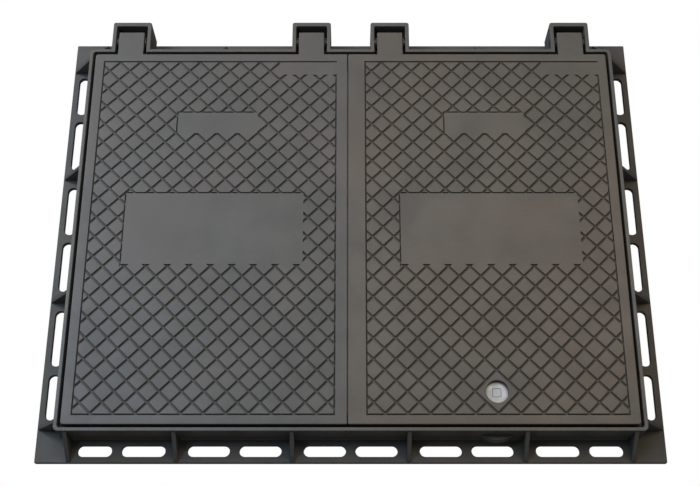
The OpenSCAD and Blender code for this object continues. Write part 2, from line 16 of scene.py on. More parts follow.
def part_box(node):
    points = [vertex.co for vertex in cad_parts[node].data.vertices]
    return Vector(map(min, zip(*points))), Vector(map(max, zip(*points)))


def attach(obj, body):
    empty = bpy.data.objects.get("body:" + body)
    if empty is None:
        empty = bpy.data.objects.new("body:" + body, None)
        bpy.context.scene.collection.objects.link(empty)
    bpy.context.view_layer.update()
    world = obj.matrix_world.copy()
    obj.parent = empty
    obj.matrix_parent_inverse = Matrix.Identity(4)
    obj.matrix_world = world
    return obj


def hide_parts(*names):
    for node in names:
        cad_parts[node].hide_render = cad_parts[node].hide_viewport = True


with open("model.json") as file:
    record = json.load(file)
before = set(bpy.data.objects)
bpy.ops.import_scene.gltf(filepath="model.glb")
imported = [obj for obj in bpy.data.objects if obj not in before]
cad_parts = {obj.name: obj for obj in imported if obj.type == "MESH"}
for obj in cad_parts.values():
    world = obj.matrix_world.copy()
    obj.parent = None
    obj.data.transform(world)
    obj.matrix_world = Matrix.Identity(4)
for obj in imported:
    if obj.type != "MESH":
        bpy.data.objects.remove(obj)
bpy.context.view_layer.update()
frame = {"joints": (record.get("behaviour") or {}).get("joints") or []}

LOG = logging.getLogger("access_cover")
MM = 0.001
TOUCH = 0.001  # places nearer than this count as one
BEYOND = 2  # how far a bore's cutter runs past each mouth
Point = tuple[float, float]
Ring = tuple[float, float, float, float]
Colour = tuple[float, float, float, float]


class Body(Enum):
    """The bodies that the pieces ride on."""

    FRAME = "frame"
    LEFT = "left_leaf"
    RIGHT = "right_leaf"
    LOCK = "lock"


class Slot(Enum):
    """The record's material slots."""

    FRAME_IRON = "frame_iron"
    LEAF_IRON = "leaf_iron"
    RUBBER = "seat_rubber"
    ZINC = "zinc_steel"
    SPRING = "spring_steel"
    NYLON = "nylon"
    PLUG = "plug_plastic"
    BRASS = "bush_brass"


class Cut(Enum):
    """What a second solid does to the first."""

    JOIN = "UNION"
    REMOVE = "DIFFERENCE"


class Cell(Enum):
    """What a cell of a leaf's top or underside becomes."""

    FLOOR = 0
    BORDER = 1
    RAISED = 2
    CAP = 3
    BAND = 4
    RIB = 5
    BAY = 6


# ---------------------------------------------------------------- mesh helpers


def box_mm(node: str) -> tuple[Vector, Vector]:
    """Give a node's corners in millimetres.

    Args:
        node: The CAD node's name.

    Returns:
        Its lowest and highest corners.
    """
    low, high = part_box(node)
    return Vector(low) / MM, Vector(high) / MM


def joint_mm(name: str) -> Vector:
    """Give a joint's place in millimetres.

    Args:
        name: The joint's name.

    Returns:
        A point on its axis.
    """
    for joint in frame["joints"]:
        if joint["name"] == name:
            return Vector(joint["pos_m"]) / MM
    raise KeyError(name)


def mend(bm: BMesh, gap: float = 0.002) -> BMesh:
    """Merge doubled points and point every face outwards.

    Args:
        bm: The mesh.
        gap: Points closer than this become one.

    Returns:
        The same mesh.
    """
    bmesh.ops.remove_doubles(bm, verts=bm.verts[:], dist=gap)
    bmesh.ops.recalc_face_normals(bm, faces=bm.faces[:])
    return bm


def gather(parts: Iterable[BMesh]) -> BMesh:
    """Put several meshes into one.

    Args:
        parts: The meshes, which are used up.

    Returns:
        One mesh that holds them all.
    """
    whole = bmesh.new()
    for part in parts:
        carrier = bpy.data.meshes.new("carrier")
        part.to_mesh(carrier)
        part.free()
        whole.from_mesh(carrier)
        bpy.data.meshes.remove(carrier)
    return whole


def moved(bm: BMesh, matrix: Matrix) -> BMesh:
    """Move or turn a mesh.

    Args:
        bm: The mesh.
        matrix: The move.

    Returns:
        The same mesh.
    """
    bmesh.ops.transform(bm, matrix=matrix, verts=bm.verts[:])
    return bm


def carve(body: BMesh, tool: BMesh, cut: Cut) -> BMesh:
    """Join a solid to another, or take it away.

    Args:
        body: The solid that stays, which is used up.
        tool: The solid that acts on it, which is used up.
        cut: What the tool does.

    Returns:
        The result.
    """
    holders: list[bpy.types.Object] = []
    for name, bm in (("carve_body", body), ("carve_tool", tool)):
        mesh = bpy.data.meshes.new(name)
        bmesh.ops.recalc_face_normals(bm, faces=bm.faces[:])
        bm.to_mesh(mesh)
        bm.free()
        holder = bpy.data.objects.new(name, mesh)
        bpy.context.scene.collection.objects.link(holder)
        holders.append(holder)
    modifier = holders[0].modifiers.new("carve", "BOOLEAN")
    modifier.operation = cut.value
    modifier.object = holders[1]
    modifier.solver = "EXACT"
    graph = bpy.context.evaluated_depsgraph_get()
    carved = bpy.data.meshes.new_from_object(holders[0].evaluated_get(graph))
    result = bmesh.new()
    result.from_mesh(carved)
    bpy.data.meshes.remove(carved)
    for holder in holders:
        mesh = holder.data
        bpy.data.objects.remove(holder)
        bpy.data.meshes.remove(mesh)
    return mend(result)


def round_corners(bm: BMesh, corners: list[BMVert], radius: float) -> None:
    """Round the corners of a flat outline.

    Args:
        bm: The mesh.
        corners: The corners' points.
        radius: Their radius.
    """
    bmesh.ops.bevel(
        bm, geom=corners, offset=radius, offset_type="OFFSET", segments=6,
        profile=0.5, affect="VERTICES", material=-1,
    )


def round_edges(bm: BMesh, edges: list[BMEdge], radius: float, segments: int) -> BMesh:
    """Round edges and mend the solid.

    Args:
        bm: The solid.
        edges: Its edges that are rounded.
        radius: Their radius.
        segments: Segments of that radius.

    Returns:
        The same mesh.
    """
    bmesh.ops.bevel(
        bm, geom=edges, offset=radius, offset_type="OFFSET", segments=segments,
        profile=0.5, affect="EDGES", material=-1, clamp_overlap=True,
    )
    return mend(bm)


def swept(rings: Sequence[Ring], centre: Point = (0.0, 0.0), closed: bool = False) -> BMesh:
    """Extrude a level rectangle with round corners from ring to ring.

    Args:
        rings: Half width, half depth, corner radius and height of each ring.
        centre: Their middle.
        closed: Whether the last ring joins the first, as on a hollow frame.

    Returns:
        The solid.
    """
    bm = bmesh.new()
    hx, hy, radius, z = rings[0]
    corners = [
        bm.verts.new((centre[0] + sx * hx, centre[1] + sy * hy, z))
        for sx, sy in ((-1, -1), (1, -1), (1, 1), (-1, 1))
    ]
    bm.faces.new(corners)
    round_corners(bm, corners, radius)
    edges = bm.edges[:]
    if closed:
        bmesh.ops.delete(bm, geom=bm.faces[:], context="FACES_ONLY")
    following = list(rings[1:]) + ([rings[0]] if closed else [])
    for old, new in zip(rings, following):
        before = set(bm.verts)
        bmesh.ops.extrude_edge_only(bm, edges=edges)
        for vert in bm.verts:
            if vert in before:
                continue
            sx = 1 if vert.co.x > centre[0] else -1
            sy = 1 if vert.co.y > centre[1] else -1
            lean_x = (vert.co.x - centre[0] - sx * (old[0] - old[2])) / old[2]
            lean_y = (vert.co.y - centre[1] - sy * (old[1] - old[2])) / old[2]
            vert.co.x = centre[0] + sx * (new[0] - new[2]) + lean_x * new[2]
            vert.co.y = centre[1] + sy * (new[1] - new[2]) + lean_y * new[2]
            vert.co.z = new[3]
        edges = [edge for edge in bm.edges if not any(vert in before for vert in edge.verts)]
    if not closed:
        bmesh.ops.holes_fill(bm, edges=edges, sides=0)
    return mend(bm)


def lofted_block(centre: Point, half: Point, radius: float, levels: Sequence[Point]) -> BMesh:
    """Build an upright block with round corners through several levels.

    Args:
        centre: Its middle.
        half: Its half width and half depth.
        radius: The corner radius.
        levels: From the bottom up, a height and how far the block stands out there.

    Returns:
        The block.
    """
    rings = [(half[0] + grow, half[1] + grow, max(radius + grow, 0.3), z) for z, grow in levels]
    return swept(rings, centre)


def turned(
    profile: Sequence[Point], closed: bool = False, steps: int = 64, angle: float = math.tau
) -> BMesh:
    """Spin an outline round the Z axis.

    Args:
        profile: Radius and height of each point.
        closed: Whether the outline is a ring clear of the axis.
        steps: Steps of the spin.
        angle: How far it spins.

    Returns:
        The turned solid.
    """
    bm = bmesh.new()
    verts = [bm.verts.new((r, 0.0, z)) for r, z in profile]
    geom: list[BMVert | BMEdge | BMFace] = list(verts)
    full = angle > math.tau - 1e-6
    if closed and not full:
        geom = [bm.faces.new(verts)]
        geom += list(geom[0].edges) + list(geom[0].verts)
    else:
        pairs = list(zip(verts, verts[1:])) + ([(verts[-1], verts[0])] if closed else [])
        geom += [bm.edges.new(pair) for pair in pairs]
    bmesh.ops.spin(
        bm, geom=geom, cent=(0, 0, 0), axis=(0, 0, 1), angle=angle, steps=steps, use_merge=full
    )
    return mend(bm)


def along_x(bm: BMesh, place: Sequence[float]) -> BMesh:
    """Lay a turned solid's axis along X and set it in place.

    Args:
        bm: The solid, about the Z axis.
        place: Where its origin goes.

    Returns:
        The same mesh.
    """
    return moved(bm, Matrix.Translation(Vector(place)) @ Matrix.Rotation(math.pi / 2, 4, "Y"))


def across_x(bm: BMesh, start: float) -> BMesh:
    """Turn a plate whose outline was drawn in Y and Z so that its thickness runs along X.

    Args:
        bm: The plate, standing on z = 0.
        start: Where it starts along X.

    Returns:
        The same mesh.
    """
    turn = Matrix.Rotation(math.pi / 2, 4, "Z") @ Matrix.Rotation(math.pi / 2, 4, "X")
    return moved(bm, Matrix.Translation((start, 0, 0)) @ turn)


def slab(outline: Sequence[Point], thickness: float, rounding: float = 0.0, segments: int = 2) -> BMesh:
    """Make a plate from an outline, standing on z = 0.

    Args:
        outline: Its points in order.
        thickness: Its height.
        rounding: Radius on its edges.
        segments: Segments of that radius.

    Returns:
        The plate.
    """
    bm = bmesh.new()
    face = bm.faces.new([bm.verts.new((x, y, 0.0)) for x, y in outline])
    made = bmesh.ops.extrude_face_region(bm, geom=[face])
    lifted = [item for item in made["geom"] if isinstance(item, BMVert)]
    bmesh.ops.translate(bm, verts=lifted, vec=(0, 0, thickness))
    mend(bm)
    if rounding:
        edges = [edge for edge in bm.edges if edge.calc_face_angle(0.0) > math.radians(25)]
        round_edges(bm, edges, rounding, segments)
    return bm


def arc(centre: Point, radius: float, start: float, end: float, steps: int) -> list[Point]:
    """Give points on an arc.

    Args:
        centre: Its middle.
        radius: Its radius.
        start: First angle in degrees.
        end: Last angle in degrees.
        steps: Number of steps.

    Returns:
        The points, both ends included.
    """
    angles = [math.radians(start + (end - start) * i / steps) for i in range(steps + 1)]
    return [(centre[0] + radius * math.cos(a), centre[1] + radius * math.sin(a)) for a in angles]


def eased(inner: float, outer: float, low: float, high: float, ease: float) -> list[Point]:
    """Give the section of a flat ring whose four edges are cut off.

    Args:
        inner: Its inner radius.
        outer: Its outer radius.
        low: Its underside.
        high: Its top.
        ease: How much of each edge is cut off.

    Returns:
        The points, once round.
    """
    return [
        (inner, low + ease), (inner + ease, low), (outer - ease, low), (outer, low + ease),
        (outer, high - ease), (outer - ease, high), (inner + ease, high), (inner, high - ease),
    ]


def flared_bore(radius: float, mouth: float, low: float, high: float, run: float) -> list[Point]:
    """Give the profile of a bore's cutter that flares at both mouths.

    Args:
        radius: The bore's radius.
        mouth: Its radius at the mouths.
        low: Its lower mouth.
        high: Its upper mouth.
        run: How deep the flares go.

    Returns:
        The points, from the axis and back to it.
    """
    return [
        (0, low - BEYOND), (mouth, low - BEYOND), (mouth, low), (radius, low + run),
        (radius, high - run), (mouth, high), (mouth, high + BEYOND), (0, high + BEYOND),
    ]


def step_region(bm: BMesh, faces: Sequence[BMFace], thickness: float, rise: float) -> None:
    """Step a region of faces up or down with a leaning side.

    Args:
        bm: The mesh.
        faces: The region's faces.
        thickness: How far the side leans in.
        rise: How far the region moves along Z.
    """
    bmesh.ops.inset_region(
        bm, faces=list(faces), thickness=thickness, depth=0.0, use_boundary=False,
        use_even_offset=True,
    )
    verts = list({vert for face in faces for vert in face.verts})
    bmesh.ops.translate(bm, verts=verts, vec=(0, 0, rise))


def split_along(bm: BMesh, faces: Iterable[BMFace], point: Sequence[float], normal: Sequence[float]) -> None:
    """Split faces where an upright plane crosses them.

    Args:
        bm: The mesh.
        faces: The faces that may be split.
        point: A point on the plane.
        normal: The plane's normal.
    """
    chosen = list(faces)
    edges = {edge for face in chosen for edge in face.edges}
    verts = {vert for face in chosen for vert in face.verts}
    bmesh.ops.bisect_plane(
        bm, geom=chosen + list(edges) + list(verts), dist=0.0005,
        plane_co=Vector((point[0], point[1], 0.0)), plane_no=Vector((normal[0], normal[1], 0.0)),
    )


# ---------------------------------------------------------------- finishes


class Nodes:
    """Adds and links the nodes of one tree."""

    def __init__(self, tree: bpy.types.NodeTree) -> None:
        """Keep the tree.

        Args:
            tree: The node tree.
        """
        self.tree = tree
        self.count = 0

    def add(self, kind: str, **settings: object) -> bpy.types.Node:
        """Add a node.

        Args:
            kind: The node's type.
            **settings: Its properties, and its inputs as in_0, in_Scale and so on.

        Returns:
            The node.
        """
        node = self.tree.nodes.new(kind)
        node.location = (180 * (self.count % 8), -220 * (self.count // 8))
        self.count += 1
        for key, value in settings.items():
            if not key.startswith("in_"):
                setattr(node, key, value)
        for key, value in settings.items():
            if key.startswith("in_"):
                name = key[3:].replace("_", " ")
                socket = node.inputs[int(name)] if name.isdigit() else node.inputs[name]
                if isinstance(value, bpy.types.NodeSocket):
                    self.tree.links.new(value, socket)
                else:
                    socket.default_value = value
        return node

    def group(self, tree: bpy.types.NodeTree, place: bpy.types.NodeSocket, **inputs: float) -> bpy.types.Node:
        """Add a node group that reads the given coordinates.

        Args:
            tree: The group.
            place: The coordinates.
            **inputs: Its other inputs, with _ for each space.

        Returns:
            The group's node.
        """
        node = self.add("ShaderNodeGroup", node_tree=tree)
        self.tree.links.new(place, node.inputs["Vector"])
        for key, value in inputs.items():
            node.inputs[key.replace("_", " ")].default_value = value
        return node

    def math(
        self, operation: str, first: object, second: object = 0.5, third: object = 0.5, clamp: bool = False
    ) -> bpy.types.NodeSocket:
        """Add a Math node.

        Args:
            operation: What it does.
            first: Its first value or socket.
            second: Its second value or socket.
            third: Its third value or socket.
            clamp: Whether its result stays between 0 and 1.

        Returns:
            Its output.
        """
        node = self.add("ShaderNodeMath", operation=operation, use_clamp=clamp, in_0=first, in_1=second, in_2=third)
        return node.outputs[0]

    def mix(self, factor: object, first: object, second: object, blend: str = "MIX") -> bpy.types.NodeSocket:
        """Add a colour Mix node.

        Args:
            factor: Its factor.
            first: Its first colour or socket.
            second: Its second colour or socket.
            blend: How the colours mix.

        Returns:
            Its colour output.
        """
        node = self.add("ShaderNodeMix", data_type="RGBA", blend_type=blend, clamp_factor=True)
        for index, value in ((0, factor), (6, first), (7, second)):
            if isinstance(value, bpy.types.NodeSocket):
                self.tree.links.new(value, node.inputs[index])
            else:
                node.inputs[index].default_value = value
        return node.outputs[2]

    def ranged(
        self, value: object, low: object, high: object, to_low: object = 0.0, to_high: object = 1.0
    ) -> bpy.types.NodeSocket:
        """Add a smooth Map Range node.

        Args:
            value: What is mapped.
            low: Where the range starts.
            high: Where it ends.
            to_low: What its start becomes.
            to_high: What its end becomes.

        Returns:
            Its result.
        """
        node = self.add(
            "ShaderNodeMapRange", interpolation_type="SMOOTHSTEP", in_0=value, in_1=low, in_2=high,
            in_3=to_low, in_4=to_high,
        )
        return node.outputs[0]


def rgb(red: float, green: float, blue: float) -> Colour:
    """Give a linear colour from three display values.

    Args:
        red: Red, 0 to 255.
        green: Green, 0 to 255.
        blue: Blue, 0 to 255.

    Returns:
        The linear colour with its alpha.
    """
    def line(value: float) -> float:
        """Turn one display value into a linear one."""
        part = value / 255.0
        return part / 12.92 if part <= 0.04045 else ((part + 0.055) / 1.055) ** 2.4

    return (line(red), line(green), line(blue), 1.0)


class EffectGroups:
    """The node groups that several finishes share."""

    def __init__(self) -> None:
        """Build the groups."""
        self.grain = self._grain()
        self.depth = self._depth()
        self.scuffs = self._scuffs()

    @staticmethod
    def _start(
        name: str, inputs: Sequence[tuple[str, str, object]], outputs: Sequence[str]
    ) -> tuple[bpy.types.NodeTree, Nodes, bpy.types.Node, bpy.types.Node]:
        """Start a node group.

        Args:
            name: The group's name.
            inputs: Each input's name, socket type and default value.
            outputs: The value outputs' names.

        Returns:
            The group, its node builder, its input node and its output node.
        """
        tree = bpy.data.node_groups.new(name, "ShaderNodeTree")
        for label, kind, default in inputs:
            socket = tree.interface.new_socket(label, in_out="INPUT", socket_type=kind)
            if default is not None:
                socket.default_value = default
        for label in outputs:
            tree.interface.new_socket(label, in_out="OUTPUT", socket_type="NodeSocketFloat")
        nodes = Nodes(tree)
        return tree, nodes, nodes.add("NodeGroupInput"), nodes.add("NodeGroupOutput")

    def _grain(self) -> bpy.types.NodeTree:
        """Build the sand-cast skin: fine grain, shallow pits and slow mottling.

        Returns:
            The group.
        """
        tree, nodes, given, out = self._start(
            "cast grain",
            [("Vector", "NodeSocketVector", None), ("Grain Scale", "NodeSocketFloat", 900.0),
             ("Pit Scale", "NodeSocketFloat", 260.0), ("Mottle Scale", "NodeSocketFloat", 14.0)],
            ["Height", "Mottle", "Speckle", "Tint"],
        )
        place = given.outputs["Vector"]
        fine = nodes.add(
            "ShaderNodeTexNoise", in_Vector=place, in_Scale=given.outputs["Grain Scale"],
            in_Detail=3.0, in_Roughness=0.6,
        )
        pits = nodes.add(
            "ShaderNodeTexVoronoi", feature="F1", in_Vector=place, in_Scale=given.outputs["Pit Scale"],
            in_Randomness=1.0,
        )
        slow = nodes.add(
            "ShaderNodeTexNoise", in_Vector=place, in_Scale=given.outputs["Mottle Scale"],
            in_Detail=5.0, in_Roughness=0.62,
        )
        bowls = nodes.ranged(pits.outputs["Distance"], 0.02, 0.34)
        height = nodes.math("MULTIPLY_ADD", bowls, 0.45, nodes.math("MULTIPLY", fine.outputs[0], 0.8))
        broad = nodes.add("ShaderNodeTexNoise", in_Vector=place, in_Scale=7.5, in_Detail=3.0, in_Roughness=0.5)
        nodes.tree.links.new(nodes.ranged(broad.outputs[0], 0.4, 0.62), out.inputs["Tint"])
        nodes.tree.links.new(height, out.inputs["Height"])
        nodes.tree.links.new(nodes.ranged(slow.outputs[0], 0.32, 0.68), out.inputs["Mottle"])
        nodes.tree.links.new(nodes.ranged(fine.outputs[0], 0.5, 0.72), out.inputs["Speckle"])
        return tree

    def _depth(self) -> bpy.types.NodeTree:
        """Build the mask that is 1 below a height and 0 above another, with a broken edge.

        Returns:
            The group.
        """
        # The leaves use this mask for painted shade in their grooves as well as for dust.
        tree, nodes, given, out = self._start(
            "darkening below a height",
            [("Vector", "NodeSocketVector", None), ("Low", "NodeSocketFloat", 0.0565),
             ("High", "NodeSocketFloat", 0.0598), ("Patch Scale", "NodeSocketFloat", 45.0)],
            ["Mask"],
        )
        parts = nodes.add("ShaderNodeSeparateXYZ", in_Vector=given.outputs["Vector"])
        wander = nodes.add(
            "ShaderNodeTexNoise", in_Vector=given.outputs["Vector"],
            in_Scale=given.outputs["Patch Scale"], in_Detail=4.0,
        )
        level = nodes.math("MULTIPLY_ADD", nodes.math("SUBTRACT", wander.outputs[0], 0.5), 0.0016, parts.outputs["Z"])
        up = nodes.ranged(level, given.outputs["Low"], given.outputs["High"], 1.0, 0.0)
        nodes.tree.links.new(up, out.inputs["Mask"])
        return tree

    def _scuffs(self) -> bpy.types.NodeTree:
        """Build the mask of rubbed patches and crossing scratches on faces that are walked or driven on.

        Returns:
            The group.
        """
        tree, nodes, given, out = self._start(
            "rubbed scuffs",
            [("Vector", "NodeSocketVector", None), ("Scale", "NodeSocketFloat", 30.0),
             ("Amount", "NodeSocketFloat", 0.5)],
            ["Mask"],
        )
        total: bpy.types.NodeSocket | None = None
        for turn, stretch in ((0.35, 24.0), (-0.6, 18.0)):
            lay = nodes.add(
                "ShaderNodeMapping", in_Vector=given.outputs["Vector"], in_Rotation=(0.0, 0.0, turn),
                in_Scale=(1.0, stretch, 1.0),
            )
            lines = nodes.add(
                "ShaderNodeTexNoise", in_Vector=lay.outputs[0], in_Scale=given.outputs["Scale"],
                in_Detail=3.0, in_Roughness=0.7,
            )
            streak = nodes.ranged(lines.outputs[0], 0.6, 0.76)
            total = streak if total is None else nodes.math("MAXIMUM", total, streak)
        patch = nodes.add("ShaderNodeTexNoise", in_Vector=given.outputs["Vector"], in_Scale=9.0, in_Detail=4.0)
        worn = nodes.math("MULTIPLY", total, nodes.ranged(patch.outputs[0], 0.42, 0.62))
        nodes.tree.links.new(nodes.math("MULTIPLY", worn, given.outputs["Amount"], clamp=True), out.inputs["Mask"])
        return tree


class Finish:
    """What every finish shares: a material with one Principled shader."""

    def start(self, name: str) -> tuple[bpy.types.Material, Nodes, bpy.types.Node, bpy.types.NodeSocket]:
        """Start a material.

        Args:
            name: The material's name.

        Returns:
            The material, its node builder, its shader and its Object coordinates.
        """
        material = bpy.data.materials.new(name)
        material.use_nodes = True
        material.node_tree.nodes.clear()
        nodes = Nodes(material.node_tree)
        place = nodes.add("ShaderNodeTexCoord").outputs["Object"]
        shader = nodes.add("ShaderNodeBsdfPrincipled")
        out = nodes.add("ShaderNodeOutputMaterial")
        material.node_tree.links.new(shader.outputs[0], out.inputs["Surface"])
        return material, nodes, shader, place

    @staticmethod
    def bumped(
        nodes: Nodes, shader: bpy.types.Node, height: bpy.types.NodeSocket, strength: float, distance: float
    ) -> None:
        """Feed a height to the shader's normal.

        Args:
            nodes: The node builder.
            shader: The shader.
            height: The height.
            strength: The bump's strength.
            distance: The bump's depth in metres.
        """
        bump = nodes.add("ShaderNodeBump", in_Strength=strength, in_Distance=distance, in_Height=height)
        nodes.tree.links.new(bump.outputs[0], shader.inputs["Normal"])


@dataclass(frozen=True)
class CoatedIron(Finish):
    """Sand-cast ductile iron under a thin black bituminous coat."""

    name: str
    coat: Colour
    tint: Colour
    worn: Colour
    # The next colour is mixed in below a height: on the leaves it is part settled dust and part painted shade in the
    # grooves and on the eased top edges; on the frame it only makes the lower parts darker.
    darkening_colour: Colour
    darkening_low: float
    darkening_high: float
    darkening_share: float = 0.85
    roughness: float = 0.5
    scuff_amount: float = 0.5

    def build(self, groups: EffectGroups) -> bpy.types.Material:
        """Make the material.

        Args:
            groups: The shared node groups.

        Returns:
            The material.
        """
        material, nodes, shader, place = self.start(self.name)
        grain = nodes.group(groups.grain, place)
        depth = nodes.group(groups.depth, place, Low=self.darkening_low, High=self.darkening_high)
        scuffs = nodes.group(groups.scuffs, place, Amount=self.scuff_amount)
        mottle = grain.outputs["Mottle"]
        dark = tuple(part * 0.84 for part in self.coat[:3]) + (1.0,)
        skin = nodes.mix(mottle, dark, self.coat)
        skin = nodes.mix(nodes.math("MULTIPLY", grain.outputs["Tint"], 0.7), skin, self.tint)
        skin = nodes.mix(nodes.math("MULTIPLY", grain.outputs["Speckle"], 0.35), skin, self.worn)
        skin = nodes.mix(scuffs.outputs["Mask"], skin, self.worn)
        # Low faces take the darker colour: on the leaves this is painted shade in the grooves with some dust, on the
        # frame darker towards the bottom.
        skin = nodes.mix(nodes.math("MULTIPLY", depth.outputs["Mask"], self.darkening_share), skin, self.darkening_colour)
        nodes.tree.links.new(skin, shader.inputs["Base Color"])
        rough = nodes.math("MULTIPLY_ADD", mottle, -0.1, self.roughness + 0.05)
        rough = nodes.math("MULTIPLY_ADD", depth.outputs["Mask"], 0.22, rough)
        rough = nodes.math("MULTIPLY_ADD", scuffs.outputs["Mask"], -0.12, rough, clamp=True)
        nodes.tree.links.new(rough, shader.inputs["Roughness"])
        shader.inputs["Specular IOR Level"].default_value = 0.45
        self.bumped(nodes, shader, grain.outputs["Height"], 0.55, 0.00035)
        return material


@dataclass(frozen=True)
class PlatedSteel(Finish):
    """Machined or stamped steel with a bright zinc, spring or turned look."""

    name: str
    metal: Colour
    stain: Colour
    roughness: float
    ring_scale: float = 0.0
    centre: tuple[float, float, float] = (0.0, 0.0, 0.0)
    stain_share: float = 0.35
    metallic: float = 1.0

    def build(self, groups: EffectGroups) -> bpy.types.Material:
        """Make the material.

        Args:
            groups: The shared node groups.

        Returns:
            The material.
        """
        material, nodes, shader, place = self.start(self.name)
        grain = nodes.group(groups.grain, place, Grain_Scale=2400.0, Pit_Scale=900.0, Mottle_Scale=60.0)
        scuffs = nodes.group(groups.scuffs, place, Scale=90.0, Amount=0.5)
        skin = nodes.mix(nodes.math("MULTIPLY", grain.outputs["Mottle"], self.stain_share), self.metal, self.stain)
        skin = nodes.mix(nodes.math("MULTIPLY", scuffs.outputs["Mask"], 0.4), skin, self.stain)
        nodes.tree.links.new(skin, shader.inputs["Base Color"])
        shader.inputs["Metallic"].default_value = self.metallic
        rough = nodes.math("MULTIPLY_ADD", grain.outputs["Mottle"], 0.12, self.roughness - 0.04)
        rough = nodes.math("MULTIPLY_ADD", scuffs.outputs["Mask"], 0.12, rough, clamp=True)
        nodes.tree.links.new(rough, shader.inputs["Roughness"])
        height = grain.outputs["Height"]
        if self.ring_scale:
            shift = nodes.add("ShaderNodeMapping", in_Vector=place, in_Location=tuple(-part for part in self.centre))
            rings = nodes.add(
                "ShaderNodeTexWave", wave_type="RINGS", rings_direction="Z", in_Vector=shift.outputs[0],
                in_Scale=self.ring_scale, in_Distortion=0.3, in_Detail=1.0,
            )
            height = nodes.math("MULTIPLY_ADD", rings.outputs["Fac"], 0.8, height)
        self.bumped(nodes, shader, height, 0.3, 0.00008)
        return material


@dataclass(frozen=True)
class MouldedPolymer(Finish):
    """Moulded rubber or nylon with a soft sheen and a fine texture."""

    name: str
    body: Colour
    bloom: Colour
    roughness: float
    bloom_share: float = 0.4

    def build(self, groups: EffectGroups) -> bpy.types.Material:
        """Make the material.

        Args:
            groups: The shared node groups.

        Returns:
            The material.
        """
        material, nodes, shader, place = self.start(self.name)
        grain = nodes.group(groups.grain, place, Grain_Scale=1600.0, Pit_Scale=700.0, Mottle_Scale=35.0)
        skin = nodes.mix(nodes.math("MULTIPLY", grain.outputs["Mottle"], self.bloom_share), self.body, self.bloom)
        skin = nodes.mix(nodes.math("MULTIPLY", grain.outputs["Speckle"], 0.2), skin, self.bloom)
        nodes.tree.links.new(skin, shader.inputs["Base Color"])
        rough = nodes.math("MULTIPLY_ADD", grain.outputs["Mottle"], 0.14, self.roughness - 0.05, clamp=True)
        nodes.tree.links.new(rough, shader.inputs["Roughness"])
        self.bumped(nodes, shader, grain.outputs["Height"], 0.35, 0.0001)
        return material


class Finishes:
    """Every material of the cover."""

    def __init__(self, lock_place: Vector) -> None:
        """Build the materials.

        Args:
            lock_place: The lock's axis, in metres.
        """
        groups = EffectGroups()
        centre = (lock_place.x, lock_place.y, 0.0)
        # The frame goes darker towards the bottom, fading out by 30 mm up.
        self.frame_iron = CoatedIron(
            "frame iron", coat=rgb(78, 77, 77), tint=rgb(79, 74, 65), worn=rgb(114, 113, 111), darkening_colour=rgb(50, 48, 45),
            darkening_low=0.002, darkening_high=0.03, darkening_share=0.45, roughness=0.46, scuff_amount=0.45,
        ).build(groups)
        self.leaf_iron = {
            # On the leaves the darker colour below the tread's top fills the grooves and eased edges: part settled
            # dust, part painted shade.
            side: CoatedIron(
                f"{side.value} iron", coat=coat, tint=tint, worn=rgb(112, 109, 106), darkening_colour=darkening_colour,
                darkening_low=0.0568, darkening_high=0.0597, darkening_share=0.9, roughness=0.48, scuff_amount=0.25,
            ).build(groups)
            # The two leaves take copies of one coat, the right one warmer and browner than the left: a painted warm
            # light on the right leaf and cool light on the left.
            for side, coat, tint, darkening_colour in (
                (Body.LEFT, rgb(81, 79, 77), rgb(83, 77, 75), rgb(66, 63, 59)),
                (Body.RIGHT, rgb(82, 78, 73), rgb(86, 76, 68), rgb(68, 62, 54)),
            )
        }
        self.zinc = PlatedSteel(
            "zinc plate", metal=rgb(206, 208, 210), stain=rgb(150, 150, 146), roughness=0.36,
        ).build(groups)
        self.spindle_zinc = PlatedSteel(
            "turned zinc plate", metal=rgb(172, 175, 180), stain=rgb(148, 148, 148), roughness=0.52,
            ring_scale=260.0, centre=centre,
        ).build(groups)
        # The pins' zinc is dulled to a dark grease colour: part grease film, part painted shade of the hinge pockets.
        self.pin_steel_greased_shaded = PlatedSteel(
            "pin steel, grease and painted shade", metal=rgb(104, 102, 100), stain=rgb(60, 56, 50), roughness=0.42, stain_share=0.8,
        ).build(groups)
        self.spring = PlatedSteel(
            "spring steel", metal=rgb(92, 90, 92), stain=rgb(58, 50, 46), roughness=0.38,
        ).build(groups)
        self.brass = PlatedSteel(
            "turned brass", metal=rgb(205, 172, 104), stain=rgb(140, 108, 62), roughness=0.34,
            ring_scale=220.0, centre=centre,
        ).build(groups)
        self.rubber = MouldedPolymer(
            "seat rubber", body=rgb(30, 30, 31), bloom=rgb(62, 61, 60), roughness=0.72,
        ).build(groups)
        self.nylon = MouldedPolymer(
            "black nylon", body=rgb(34, 34, 35), bloom=rgb(58, 57, 56), roughness=0.5,
        ).build(groups)
        self.plug = MouldedPolymer(
            "plug plastic", body=rgb(178, 180, 184), bloom=rgb(168, 169, 170), roughness=0.5,
        ).build(groups)


# ---------------------------------------------------------------- pieces


